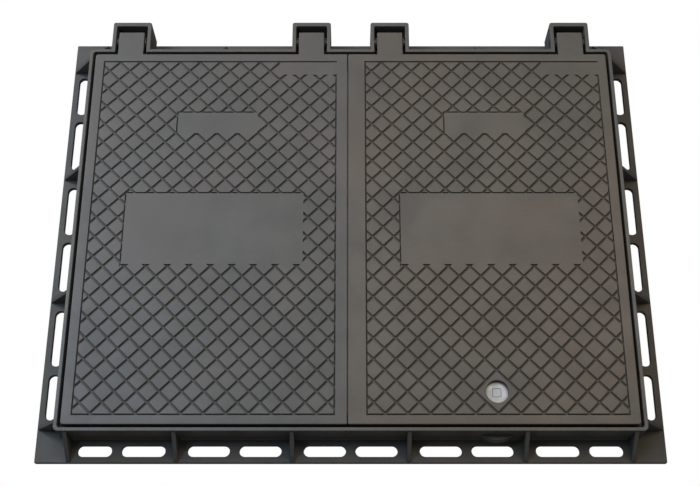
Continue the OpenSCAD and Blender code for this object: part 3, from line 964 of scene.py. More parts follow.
@dataclass
class Piece:
    """One finished piece of the cover."""

    name: str
    bm: BMesh
    material: bpy.types.Material
    body: Body
    slot: Slot
    stands_for: tuple[str, ...]
    sharp_angle: float = 40.0

    def place(self) -> bpy.types.Object:
        """Turn the mesh into a piece that rides on its body.

        Returns:
            The piece.
        """
        bm = mend(self.bm)
        bmesh.ops.scale(bm, vec=(MM, MM, MM), verts=bm.verts[:])
        limit = math.radians(self.sharp_angle)
        for face in bm.faces:
            face.smooth = True
            face.material_index = 0
        for edge in bm.edges:
            edge.smooth = edge.calc_face_angle(0.0) < limit
        mesh = bpy.data.meshes.new(self.name)
        bm.to_mesh(mesh)
        loose = sum(1 for edge in bm.edges if len(edge.link_faces) != 2)
        bm.free()
        mesh.materials.append(self.material)
        piece = bpy.data.objects.new(self.name, mesh)
        bpy.context.scene.collection.objects.link(piece)
        weighted = piece.modifiers.new("flat faces stay flat", "WEIGHTED_NORMAL")
        weighted.mode = "FACE_AREA"
        weighted.weight = 50
        weighted.keep_sharp = True
        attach(piece, self.body.value)
        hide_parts(*self.stands_for)
        LOG.info("%s: %d faces, %d open edges", self.name, len(mesh.polygons), loose)
        return piece


@dataclass
class HingePlan:
    """Where the hinges lie."""

    tabs: tuple[float, ...] = field(init=False)
    axis_y: float = field(init=False)
    axis_z: float = field(init=False)
    tab_w: float = 45.0
    eye_r: float = 15.0
    pocket_w: float = 55.3
    side_t: float = 6.7
    bore_r: float = 7.05
    pocket_mouth_r: float = 7.9
    pocket_flare: float = 0.9
    eye_flare: float = 1.0

    def __post_init__(self) -> None:
        """Read the pins' places."""
        pins = ("left_outer", "left_inner", "right_inner", "right_outer")
        boxes = [box_mm(f"{pin}_hinge_pin") for pin in pins]
        self.tabs = tuple((low.x + high.x) / 2 for low, high in boxes)
        axis = joint_mm("left_leaf_hinge")
        self.axis_y, self.axis_z = axis.y, axis.z

    @property
    def pocket_outer_w(self) -> float:
        """Give a pocket's width over its sides."""
        return self.pocket_w + 2 * self.side_t


@dataclass
class CoverFrame:
    """The cast frame: flange, wall, seat, gussets, hinge pockets and keeper."""

    hinges: HingePlan
    lock: Vector
    flange_t: float = 9.0
    flange_r: float = 2.0
    wall: Point = (463.0, 346.0)
    wall_r: float = 8.0
    wall_t: float = 5.75
    rim_r: float = 4.5
    seat_w: float = 25.0
    seat_z: Point = (32.0, 42.0)
    flange_round: float = 1.4
    foot_r: float = 3.0
    rim_round: float = 0.9
    groove: float = 1.5
    slot_r: float = 9.0
    slot_row: Point = (481.0, 366.0)
    slot_from_middle: float = 7.5
    slot_from_gusset: float = 17.5
    slot_from_end: float = 13.0
    slot_apart: float = 15.0
    slot_share: float = 0.56
    gusset_t: float = 7.0
    gusset_drop: float = 4.0
    gusset_tip: float = 1.5
    root: float = 3.0
    front_gussets: tuple[float, ...] = (92.0, 276.0, 446.0)
    side_gussets: tuple[float, ...] = (113.5, 329.0)
    rear_gussets: tuple[float, ...] = (230.75, 446.0)
    pocket_back: float = 394.0
    keeper_half: float = 26.5
    keeper_reach: float = 8.5
    keeper_r: float = 45.55
    keeper_top: float = 36.0
    recess: tuple[float, float, float] = (66.5, 20.0, 32.0)

    def __post_init__(self) -> None:
        """Read the flange's size and the frame's height."""
        low, high = box_mm("frame")
        self.flange = (high.x, -low.y)
        self.top = high.z
        self.back = high.y
        strip_low, strip_high = box_mm("front_seat_strip")
        self.strip_outer = (strip_high.x, -strip_low.y)
        self.strip_w = strip_high.y - strip_low.y

    def section(self) -> list[Ring]:
        """Give the ring's section.

        Returns:
            Half width, half depth, corner radius and height of each ring, once round.
        """
        fx, fy = self.flange
        wx, wy = self.wall
        ix, iy = wx - self.wall_t, wy - self.wall_t
        ox, oy = ix - self.seat_w, iy - self.seat_w
        sx, sy = self.strip_outer
        low, high = self.seat_z
        points: list[Ring] = []

        def ring(x: float, y: float, r: float, out: float, z: float) -> None:
            """Add a ring that stands out by some amount."""
            points.append((x + out, y + out, max(r + out, 0.35), z))

        ring(ix, iy, self.rim_r, 0.8, 0.0)
        ring(fx, fy, self.flange_r, -1.2, 0.0)
        ring(fx, fy, self.flange_r, 0.0, 1.2)
        quarter = [math.radians(angle) for angle in (0.0, 30.0, 60.0, 90.0)]
        for lean in quarter:
            out, up = self.flange_round * (math.cos(lean) - 1), self.flange_round * (math.sin(lean) - 1)
            ring(fx, fy, self.flange_r, out, self.flange_t + up)
        for lean in quarter:
            out, up = self.foot_r * (1 - math.sin(lean)), self.foot_r * (1 - math.cos(lean))
            ring(wx, wy, self.wall_r, out, self.flange_t + up)
        for lean in quarter:
            out, up = self.rim_round * (math.cos(lean) - 1), self.rim_round * (math.sin(lean) - 1)
            ring(wx, wy, self.wall_r, out, self.top + up)
        for lean in reversed(quarter):
            out, up = self.rim_round * (1 - math.cos(lean)), self.rim_round * (math.sin(lean) - 1)
            ring(ix, iy, self.rim_r, out, self.top + up)
        ring(ix, iy, self.rim_r, 0.0, high + 1.0)
        ring(ix, iy, self.rim_r, -0.3, high + 0.3)
        ring(ix, iy, self.rim_r, -1.0, high)
        ring(sx, sy, 0.4, 0.0, high)
        ring(sx, sy, 0.4, 0.0, high - self.groove)
        ring(sx - self.strip_w, sy - self.strip_w, 0.4, 0.0, high - self.groove)
        ring(sx - self.strip_w, sy - self.strip_w, 0.4, 0.0, high)
        ring(ox, oy, self.rim_r, 0.8, high)
        ring(ox, oy, self.rim_r, 0.25, high - 0.25)
        ring(ox, oy, self.rim_r, 0.0, high - 0.8)
        ring(ox, oy, self.rim_r, 0.0, low + 0.8)
        ring(ox, oy, self.rim_r, 0.8, low)
        ring(ix, iy, self.rim_r, -2.0, low)
        ring(ix, iy, self.rim_r, -0.6, low - 0.6)
        ring(ix, iy, self.rim_r, 0.0, low - 2.0)
        ring(ix, iy, self.rim_r, 0.0, 0.8)
        return points

    def ring(self) -> BMesh:
        """Build the closed ring of flange, wall and seat.

        Returns:
            The ring.
        """
        return swept(self.section(), closed=True)

    def gusset(self, reach: float, place: Sequence[float], turn: float) -> BMesh:
        """Build one gusset, which runs outwards from the wall.

        Args:
            reach: How far the flange stands out.
            place: Where the gusset meets the wall.
            turn: Its direction from X, in radians.

        Returns:
            The gusset.
        """
        height = self.top - self.gusset_drop
        foot, tip = self.flange_t - self.root, reach - self.gusset_tip
        outline = [(-2.5, foot), (tip, foot), (tip, self.flange_t + 1.5), (0.4, height), (-2.5, height)]
        bm = slab(outline, self.gusset_t, rounding=1.1, segments=3)
        stand = Matrix.Translation((0, self.gusset_t / 2, 0)) @ Matrix.Rotation(math.pi / 2, 4, "X")
        return moved(moved(bm, stand), Matrix.Translation(place) @ Matrix.Rotation(turn, 4, "Z"))

    def gussets(self) -> list[BMesh]:
        """Build every gusset round the wall.

        Returns:
            The gussets.
        """
        wx, wy = self.wall
        fx, fy = self.flange
        made: list[BMesh] = []
        for side in (-1, 1):
            for row, y, turn in ((self.front_gussets, -wy, -math.pi / 2), (self.rear_gussets, wy, math.pi / 2)):
                made += [self.gusset(fy - wy, (side * x, y, 0), turn) for x in row]
            turn = 0.0 if side > 0 else math.pi
            for y in self.side_gussets:
                made += [self.gusset(fx - wx, (side * wx, end * y, 0), turn) for end in (-1, 1)]
        return made

    def additions(self) -> BMesh:
        """Build what is cast onto the ring: gussets, pocket shells and the keeper.

        Returns:
            The solids, clear of each other.
        """
        parts = self.gussets()
        wy = self.wall[1]
        depth = (self.back - wy + self.root) / 2
        top = self.top
        levels = [(0.0, -1.0), (1.0, 0.0), (top - 1.3, 0.0), (top - 0.7, -0.2), (top - 0.2, -0.65), (top, -1.3)]
        for x in self.hinges.tabs:
            parts.append(lofted_block((x, self.back - depth), (self.hinges.pocket_outer_w / 2, depth), 4.0, levels))
        middle = self.keeper_r - wy - self.keeper_reach
        spread = math.degrees(math.asin(min((self.keeper_half + 2) / self.keeper_r, 1.0)))
        curve = arc((self.lock.x, middle), self.keeper_r, 270 - spread, 270 + spread, 24)
        outline = curve + [(curve[-1][0], -wy + self.root), (curve[0][0], -wy + self.root)]
        keeper = slab(outline, self.keeper_top - self.flange_t + 4, rounding=1.2, segments=3)
        parts.append(moved(keeper, Matrix.Translation((0, 0, self.flange_t - 4))))
        return gather(parts)

    def slot_cutter(self, start: Point, end: Point) -> BMesh:
        """Build the cutter of one slot, flared at both mouths.

        Args:
            start: One end of the slot.
            end: Its other end.

        Returns:
            The cutter.
        """
        middle = ((start[0] + end[0]) / 2, (start[1] + end[1]) / 2)
        half = (max(abs(end[0] - start[0]) / 2, self.slot_r), max(abs(end[1] - start[1]) / 2, self.slot_r))
        t = self.flange_t
        levels = [(-2.0, 0.8), (0.0, 0.8), (0.8, 0.0), (t - 1.0, 0.0), (t - 0.3, 0.25), (t, 1.0), (t + 1.5, 1.0)]
        return lofted_block(middle, half, self.slot_r - 0.01, levels)

    def bay(self, start: float, end: float, share: float) -> list[Point]:
        """Give the two slots of a bay between gussets.

        Args:
            start: Where the bay starts.
            end: Where it ends.
            share: Share of the first slot.

        Returns:
            Start and end of each slot.
        """
        run = end - start - self.slot_apart
        return [(start, start + run * share), (end - run * (1 - share), end)]

    def slot_cutters(self) -> list[BMesh]:
        """Build the cutters of every anchor slot.

        Returns:
            The cutters.
        """
        g, s = self.front_gussets, self.side_gussets
        near, gap, end_gap = self.slot_from_middle, self.slot_from_gusset, self.slot_from_end
        front = [(near, g[0] - gap)]
        front += self.bay(g[0] + gap, g[1] - gap, 0.5)
        front += self.bay(g[1] + gap, g[2] - end_gap, self.slot_share)
        side = [(near, s[0] - gap)] + self.bay(s[0] + gap, s[1] - end_gap, self.slot_share)
        outer = self.hinges.tabs[-1] - self.hinges.pocket_outer_w / 2 - end_gap
        rear = [(g[0] + gap, front[1][1]), (self.rear_gussets[0] + gap, outer)]
        row_x, row_y = self.slot_row
        cutters: list[BMesh] = []
        for flip in (-1, 1):
            cutters += [self.slot_cutter((flip * a, -row_y), (flip * b, -row_y)) for a, b in front]
            cutters += [self.slot_cutter((flip * a, row_y), (flip * b, row_y)) for a, b in rear]
            for up in (-1, 1):
                cutters += [self.slot_cutter((flip * row_x, up * a), (flip * row_x, up * b)) for a, b in side]
        return cutters

    def pocket_cutter(self, x: float) -> BMesh:
        """Build the cutter of one hinge pocket and of its mouth through the wall.

        Args:
            x: The pocket's middle.

        Returns:
            The cutter.
        """
        wy, back, bottom = self.wall[1], self.pocket_back, self.flange_t
        front, above, sill = wy - self.wall_t - self.root, self.top + 3.0, self.seat_z[1]
        outline = [(front, above), (front, sill), (wy, sill), (wy, bottom), (back, bottom), (back, above)]
        bm = slab(outline, self.hinges.pocket_w)
        rounded = [
            edge for edge in bm.edges
            if min(vert.co.y for vert in edge.verts) < above - 1 and max(vert.co.x for vert in edge.verts) > front + 1
        ]
        return across_x(round_edges(bm, rounded, 1.8, 4), x - self.hinges.pocket_w / 2)

    def build(self) -> BMesh:
        """Build the whole frame.

        Returns:
            The frame.
        """
        body = carve(self.ring(), self.additions(), Cut.JOIN)
        wy = self.wall[1]
        tools = self.slot_cutters()
        tools += [self.pocket_cutter(x) for x in self.hinges.tabs]
        r, low, high = self.recess
        dish = turned([(0, low), (r - 1, low), (r, low + 1), (r, high), (0, high)], steps=96)
        tools.append(moved(dish, Matrix.Translation((self.lock.x, self.lock.y, 0))))
        body = carve(body, gather(tools), Cut.REMOVE)
        tools = []
        start = wy - self.wall_t - self.root
        middle, half = (start + self.pocket_back) / 2, (self.pocket_back - start) / 2
        ease = [(self.top - 1.0, -0.1), (self.top - 0.3, 0.25), (self.top, 0.9), (self.top + 3, 0.9)]
        for x in self.hinges.tabs:
            tools.append(lofted_block((x, middle), (self.hinges.pocket_w / 2, half), 3.0, ease))
            plan, reach = self.hinges, self.hinges.pocket_outer_w / 2
            bore = flared_bore(plan.bore_r, plan.pocket_mouth_r, -reach, reach, plan.pocket_flare)
            tools.append(along_x(turned(bore, steps=48), (x, plan.axis_y, plan.axis_z)))
        return carve(body, gather(tools), Cut.REMOVE)


@dataclass
class Tread:
    """The crossed-groove pattern of one leaf, about the middle of its field."""

    size: Point = (413.5, 643.0)
    pitch: float = 25.0
    depth: float = 3.5
    floor_half: float = 1.4
    lean: float = 1.1
    border: float = 3.3
    line: float = 3.0
    pads: tuple[tuple[float, float, float, float], ...] = ((2.0, -2.5, 298.0, 128.0), (0.5, 196.7, 137.0, 39.7))
    panel: Point = (100.0, 24.5)
    lock_rows: int = 8
    smallest: float = 0.95
    narrowest: float = 1.6
    needle: float = 24.0

    @property
    def key_pad_y(self) -> float:
        """Give the key pad's place along Y."""
        return -self.lock_rows * self.pitch * math.sqrt(2)

    def cell(self, x: float, y: float, lockable: bool) -> Cell:
        """Tell what stands at a point of the field.

        Args:
            x: Across, from the field's middle.
            y: Back, from the field's middle.
            lockable: Whether the leaf has the key pad.

        Returns:
            The kind of cell.
        """
        w, d = self.size[0] / 2, self.size[1] / 2
        lean = self.lean
        if abs(x) > w - lean or abs(y) > d - lean:
            return Cell.BORDER
        pw, pd = self.panel
        if x > w - pw - lean and d - self.border - pd - lean < y < d - self.border + lean:
            return Cell.RAISED
        if abs(x) > w - self.border + lean or abs(y) > d - self.border + lean:
            return Cell.FLOOR
        for cx, cy, pad_w, pad_d in self.pads:
            dx, dy = x - cx, y - cy
            left, rear, right, front = -pad_w / 2, pad_d / 2, pad_w / 2 + lean, -pad_d / 2 - lean
            inner_line = left - self.line + lean
            outer_line = rear + self.line - lean
            if left - lean > dx > inner_line and front < dy < outer_line:
                return Cell.FLOOR
            if rear + lean < dy < outer_line and inner_line < dx < right:
                return Cell.FLOOR
            if left - lean < dx < right and front < dy < rear + lean:
                return Cell.RAISED
        u, v = (x - y) / math.sqrt(2), (x + y) / math.sqrt(2)
        if lockable:
            key = self.key_pad_y
            ku, kv = (x - (y - key)) / math.sqrt(2), (x + (y - key)) / math.sqrt(2)
            if max(abs(ku), abs(kv)) < self.pitch - self.floor_half:
                return Cell.RAISED
        near = min(abs(u - self.pitch * round(u / self.pitch)), abs(v - self.pitch * round(v / self.pitch)))
        return Cell.FLOOR if near < self.floor_half else Cell.RAISED

    def cut(self, bm: BMesh, centre: Point, lockable: bool) -> None:
        """Cut a leaf's top sheet into the pattern and raise what stands.

        Args:
            bm: The flat sheet at the grooves' floor.
            centre: The field's middle.
            lockable: Whether the leaf has the key pad.
        """
        cx, cy = centre
        w, d = self.size[0] / 2, self.size[1] / 2
        lean = self.lean
        for at in (w - lean, w - self.border + lean):
            for side in (-1, 1):
                split_along(bm, bm.faces, (cx + side * at, cy), (1, 0))
        for at in (d - lean, d - self.border + lean):
            for side in (-1, 1):
                split_along(bm, bm.faces, (cx, cy + side * at), (0, 1))
        for face in bm.faces:
            middle = face.calc_center_median()
            inside = abs(middle.x - cx) < w - self.border + lean and abs(middle.y - cy) < d - self.border + lean
            face.material_index = 1 if inside else 0
        rows = int((w + d) / math.sqrt(2) / self.pitch) + 1
        for normal in ((1, -1), (1, 1)):
            across = Vector(normal).normalized()
            for row in range(-rows, rows + 1):
                for edge in (-1, 1):
                    at = row * self.pitch + edge * self.floor_half
                    inner = [face for face in bm.faces if face.material_index == 1]
                    split_along(bm, inner, (cx + across.x * at, cy + across.y * at), across)
        self.cut_rectangles(bm, centre)
        inner_points = [vert for vert in bm.verts if not vert.is_boundary]
        bmesh.ops.remove_doubles(bm, verts=inner_points, dist=self.smallest)
        self.classify(bm, centre, lockable)
        self.raise_cells(bm)

    def cut_rectangles(self, bm: BMesh, centre: Point) -> None:
        """Split the cells along the pads' and the panel's edges.

        Args:
            bm: The sheet.
            centre: The field's middle.
        """
        cx, cy = centre
        lean = self.lean
        w, d = self.size[0] / 2, self.size[1] / 2

        def near(x0: float, x1: float, y0: float, y1: float) -> list[BMFace]:
            """Give the inner faces that touch a rectangle."""
            found = []
            for face in bm.faces:
                xs = [vert.co.x - cx for vert in face.verts]
                ys = [vert.co.y - cy for vert in face.verts]
                if max(xs) > x0 and min(xs) < x1 and max(ys) > y0 and min(ys) < y1:
                    found.append(face)
            return found

        for px, py, pad_w, pad_d in self.pads:
            x0, x1 = px - pad_w / 2 - self.line + lean, px + pad_w / 2 + lean
            y0, y1 = py - pad_d / 2 - lean, py + pad_d / 2 + self.line - lean
            for x in (x0, px - pad_w / 2 - lean, x1):
                split_along(bm, near(x0 - 1, x1 + 1, y0, y1), (cx + x, cy), (1, 0))
            for y in (y0, py + pad_d / 2 + lean, y1):
                split_along(bm, near(x0, x1, y0 - 1, y1 + 1), (cx, cy + y), (0, 1))
        left = w - self.panel[0] - lean
        front = d - self.border - self.panel[1] - lean
        split_along(bm, near(left - 1, left + 1, front, d - 1), (cx + left, cy), (1, 0))
        split_along(bm, near(left, w - lean - 0.1, front - 1, front + 1), (cx, cy + front), (0, 1))

    def classify(self, bm: BMesh, centre: Point, lockable: bool) -> None:
        """Mark each cell and make each raised island one face.

        Args:
            bm: The sheet.
            centre: The field's middle.
            lockable: Whether the leaf has the key pad.
        """
        for face in bm.faces:
            middle = face.calc_center_median()
            face.material_index = self.cell(middle.x - centre[0], middle.y - centre[1], lockable).value
        joined = [
            edge for edge in bm.edges
            if len(edge.link_faces) == 2 and all(face.material_index == Cell.RAISED.value for face in edge.link_faces)
        ]
        bmesh.ops.dissolve_edges(bm, edges=joined, use_verts=False, use_face_split=False)
        self.blunt(bm)
        for face in bm.faces:
            width = 2 * face.calc_area() / max(face.calc_perimeter(), 1e-6)
            if face.material_index == Cell.RAISED.value and width < self.narrowest:
                face.material_index = Cell.FLOOR.value

    def blunt(self, bm: BMesh) -> None:
        """Merge the needle-thin corners of the islands into their nearer neighbours.

        Args:
            bm: The sheet.
        """
        targets: dict[BMVert, BMVert] = {}
        for face in bm.faces:
            if face.material_index != Cell.RAISED.value:
                continue
            for loop in face.loops:
                before, after = loop.link_loop_prev.vert, loop.link_loop_next.vert
                back, ahead = before.co - loop.vert.co, after.co - loop.vert.co
                if back.angle(ahead, math.pi) < math.radians(self.needle):
                    targets[loop.vert] = before if back.length < ahead.length else after
        bmesh.ops.weld_verts(bm, targetmap=targets)

    def raise_cells(self, bm: BMesh) -> None:
        """Raise the border and the islands, with leaning sides and eased edges.

        Args:
            bm: The sheet.
        """
        for thickness, rise in ((0.3, 0.6), (0.3, 2.4), (0.3, 0.5)):
            standing = [face for face in bm.faces if face.material_index in (Cell.BORDER.value, Cell.RAISED.value)]
            before = set(bm.faces)
            share = rise / 3.5
            step_region(bm, standing, thickness, share * self.depth)
            for face in bm.faces:
                if face not in before:
                    face.material_index = Cell.FLOOR.value


@dataclass
class Leaf:
    """One cast leaf: tread, seated edge, ribs and hinge tabs."""

    name: str
    hinges: HingePlan
    lock: Vector | None
    tread: Tread
    outer: int
    edge_round: float = 1.3
    seat_edge_z: float = 46.0
    plate_z: float = 50.0
    rib_z: float = 24.0
    rib_t: float = 8.0
    rib_outer: Point = (428.25, 311.25)
    joint_inset: float = 1.5
    bays: tuple[int, int] = (4, 6)
    corner_r: float = 4.5
    joint_r: float = 1.5
    head_bore: float = 19.0
    head_seat_z: float = 52.0
    key_hole: float = 18.0
    bush_z: float = 38.0
    boss_r: float = 29.0
    relief: tuple[float, float, float] = (67.0, 18.0, 33.5)
    screw_r: float = 2.6
    screw_circle: float = 23.0

    def __post_init__(self) -> None:
        """Read the leaf's outline."""
        low, high = box_mm(self.name)
        self.x = (low.x, high.x)
        self.top = high.z
        self.half_y = -low.y
        tabs = [x for x in self.hinges.tabs if low.x < x < high.x]
        self.tabs = tuple(tabs)
        self.field = (sum(tabs) / 2, 0.0)

    def outward(self, point: Vector) -> Vector:
        """Give the outline's outward direction at a point on it.

        Args:
            point: A point on the outline or on a parallel of it.

        Returns:
            The direction, level.
        """
        left, right = self.x
        r_left, r_right = (self.joint_r, self.corner_r) if self.outer > 0 else (self.corner_r, self.joint_r)
        r = r_right if point.x > (left + right) / 2 else r_left
        x = min(max(point.x, left + r_left), right - r_right)
        y = min(max(point.y, -self.half_y + r), self.half_y - r)
        away = Vector((point.x - x, point.y - y, 0.0))
        return away.normalized()

    def outline(self) -> BMesh:
        """Build the flat sheet at the grooves' floor, inside the rounded top edge.

        Returns:
            The sheet.
        """
        bm = bmesh.new()
        left, right = self.x
        e = self.edge_round
        floor = self.top - self.tread.depth
        x0, x1, y0, y1 = left + e, right - e, -self.half_y + e, self.half_y - e
        verts = [bm.verts.new((x, y, floor)) for x, y in ((x0, y0), (x1, y0), (x1, y1), (x0, y1))]
        bm.faces.new(verts)
        outer_x = x1 if self.outer > 0 else x0
        for is_outer, radius in ((True, self.corner_r), (False, self.joint_r)):
            corners = [vert for vert in bm.verts if abs(abs(vert.co.y) - self.half_y + e) < TOUCH]
            chosen = [vert for vert in corners if (abs(vert.co.x - outer_x) < TOUCH) == is_outer]
            round_corners(bm, chosen, radius - e)
        return bm

    def skirt(self, bm: BMesh) -> None:
        """Round the top edge and run the side down to the seated face, then close it.

        Args:
            bm: The sheet with its tread.
        """
        rim = [edge for edge in bm.edges if edge.is_boundary]
        e = self.edge_round
        quarter = [math.radians(a) for a in (30, 60, 90)]
        steps = [(e * math.sin(lean), self.top - e * (1 - math.cos(lean))) for lean in quarter]
        steps += [(e, self.seat_edge_z + 0.8), (e - 0.3, self.seat_edge_z + 0.2), (e - 0.8, self.seat_edge_z)]
        out = 0.0
        for grow, z in steps:
            made = bmesh.ops.extrude_edge_only(bm, edges=rim)
            rim = [item for item in made["geom"] if isinstance(item, BMEdge) and item.is_boundary]
            for vert in {vert for edge in rim for vert in edge.verts}:
                vert.co += self.outward(vert.co) * (grow - out)
                vert.co.z = z
            out = grow
        filled = bmesh.ops.holes_fill(bm, edges=rim, sides=0)
        for face in filled["faces"]:
            face.material_index = Cell.CAP.value

    def underside(self, bm: BMesh) -> None:
        """Sink the bays and drop the ribs on the closed underside.

        Args:
            bm: The leaf, with its underside one face.
        """
        left, right = self.x
        x0, x1 = left + self.joint_inset, self.rib_outer[0]
        if self.outer < 0:
            x0, x1 = -self.rib_outer[0], right - self.joint_inset
        y0, y1 = -self.rib_outer[1], self.rib_outer[1]
        lines: list[list[Point]] = []
        for start, end, count in ((x0, x1, self.bays[0]), (y0, y1, self.bays[1])):
            step = (end - start - self.rib_t) / count
            lines.append([(start + i * step, start + i * step + self.rib_t) for i in range(count + 1)])
        for axis, normal in ((0, (1, 0)), (1, (0, 1))):
            for at in (place for pair in lines[axis] for place in pair):
                cap = [face for face in bm.faces if face.material_index == Cell.CAP.value]
                split_along(bm, cap, (at, 0.0) if axis == 0 else (0.0, at), normal)

        for face in bm.faces:
            if face.material_index != Cell.CAP.value:
                continue
            middle = face.calc_center_median()
            if not (x0 < middle.x < x1 and y0 < middle.y < y1):
                face.material_index = Cell.BAND.value
            elif any(a < middle.x < b for a, b in lines[0]) or any(a < middle.y < b for a, b in lines[1]):
                face.material_index = Cell.RIB.value
            else:
                face.material_index = Cell.BAY.value
        for kind, thickness, rise in (
            (Cell.BAY, 0.6, self.plate_z - self.seat_edge_z),
            (Cell.RIB, 0.9, self.rib_z - self.seat_edge_z + 0.7),
            (Cell.RIB, 0.6, -0.7),
        ):
            region = [face for face in bm.faces if face.material_index == kind.value]
            before = set(bm.faces)
            step_region(bm, region, thickness, rise)
            for face in bm.faces:
                if face not in before:
                    face.material_index = Cell.BAND.value

    def tab(self, x: float) -> BMesh:
        """Build one hinge tab with its eye.

        Args:
            x: Its middle.

        Returns:
            The tab.
        """
        axis = (self.hinges.axis_y, self.hinges.axis_z)
        root = self.half_y - 9.0
        top = self.top - 0.04
        end = axis[0] + self.hinges.eye_r
        crown = arc((end - 1.5, top - 1.5), 1.5, 90, 0, 4)
        foot = [(349.8, 41.0), (347.6, self.seat_edge_z + 0.5), (root, self.seat_edge_z + 0.5)]
        outline = [(root, top)] + crown + arc(axis, self.hinges.eye_r, 0, -140, 18) + foot
        bm = slab(outline, self.hinges.tab_w)
        corners = [
            edge for edge in bm.edges
            if abs(edge.verts[0].co.z - edge.verts[1].co.z) < TOUCH
            and max(vert.co.x for vert in edge.verts) > root + 8
        ]
        return across_x(round_edges(bm, corners, 2.4, 4), x - self.hinges.tab_w / 2)

    def eye_bore(self, x: float) -> BMesh:
        """Build the cutter of a tab's eye.

        Args:
            x: The tab's middle.

        Returns:
            The cutter.
        """
        plan, reach = self.hinges, self.hinges.tab_w / 2
        profile = flared_bore(plan.bore_r, plan.bore_r + plan.eye_flare, -reach, reach, plan.eye_flare)
        return along_x(turned(profile, steps=48), (x, plan.axis_y, plan.axis_z))

    def build(self) -> BMesh:
        """Build the whole leaf.

        Returns:
            The leaf.
        """
        bm = self.outline()
        self.tread.cut(bm, self.field, self.lock is not None)
        self.skirt(bm)
        self.underside(bm)
        mend(bm)
        body = carve(bm, gather(self.tab(x) for x in self.tabs), Cut.JOIN)
        cutters = [self.eye_bore(x) for x in self.tabs]
        if self.lock is not None:
            here = Matrix.Translation((self.lock.x, self.lock.y, 0))
            foot, r, plate = self.bush_z, self.boss_r, self.plate_z + 1
            wide, low, high = self.relief
            relief = [(0, low), (wide, low), (wide, high), (r + 1, high), (r + 1, foot), (0, foot)]
            cutters.append(moved(turned(relief, steps=96), here))
            body = carve(body, gather(cutters), Cut.REMOVE)
            boss = [(0, foot), (r - 0.8, foot), (r, foot + 0.8), (r, plate), (0, plate)]
            body = carve(body, moved(turned(boss, steps=96), here), Cut.JOIN)
            k, h, seat, top = self.key_hole, self.head_bore, self.head_seat_z, self.top
            bore = [(0, foot - 8), (h + 0.7, foot - 8), (h + 0.7, foot), (h, foot + 0.7), (h, seat), (k, seat)]
            bore += [(k, top - 0.9), (k + 0.25, top - 0.3), (k + 0.9, top), (k + 0.9, top + 2), (0, top + 2)]
            cutters = [moved(turned(bore, steps=96), here)]
            for turn in (60, 180, 300):
                spot = Matrix.Rotation(math.radians(turn), 4, "Z") @ Matrix.Translation((self.screw_circle, 0, 0))
                thread = [(0, foot - 8), (self.screw_r, foot - 8), (self.screw_r, foot + 8), (0, foot + 8)]
                cutters.append(moved(turned(thread, steps=20), here @ spot))
        return carve(body, gather(cutters), Cut.REMOVE)


@dataclass
class SeatStrips:
    """The four rubber strips that the leaves rest on."""

    nodes: tuple[str, ...] = ("front_seat_strip", "rear_seat_strip", "left_seat_strip", "right_seat_strip")
    rounding: float = 1.1
    channel: float = 0.9

    def build(self, node: str) -> BMesh:
        """Build one strip with eased edges and a shallow channel along its top.

        Args:
            node: The CAD node it stands for.

        Returns:
            The strip.
        """
        low, high = box_mm(node)
        half = ((high.x - low.x) / 2, (high.y - low.y) / 2)
        centre = ((high.x + low.x) / 2, (high.y + low.y) / 2)
        r, top = self.rounding, high.z
        levels = [(low.z, -0.4), (low.z + 0.4, 0.0), (top - r, 0.0), (top - 0.3 * r, -0.3 * r), (top, -r)]
        levels += [(top, -r - 2.6), (top - self.channel, -r - 3.2)]
        return lofted_block(centre, half, 0.9, levels)


@dataclass
class JointSeal:
    """The rubber strip in the joint between the leaves, with a bead along its free side."""

    node: str = "joint_seal"
    ease: float = 0.35
    bead: float = 0.22

    def build(self) -> BMesh:
        """Build the strip.

        Returns:
            The strip.
        """
        low, high = box_mm(self.node)
        e = self.ease
        z0, z1, x0, x1 = low.z, high.z, low.x - self.bead, high.x
        lip = [(x0 + 0.45, z0 + 0.8), (x0 + 0.45, z1 - 2.2), (x0 + 0.1, z1 - 1.7), (x0, z1 - 1.2)]
        lip += [(x0 + 0.05, z1 - e), (x0 + e, z1)]
        outline = [(x1, z0), (x0 + 0.45 + e, z0)] + lip + [(x1, z1)]
        length = high.y - low.y
        turn = Matrix.Translation((0, high.y, 0)) @ Matrix.Rotation(math.pi / 2, 4, "X")
        return moved(slab(outline, length), turn)


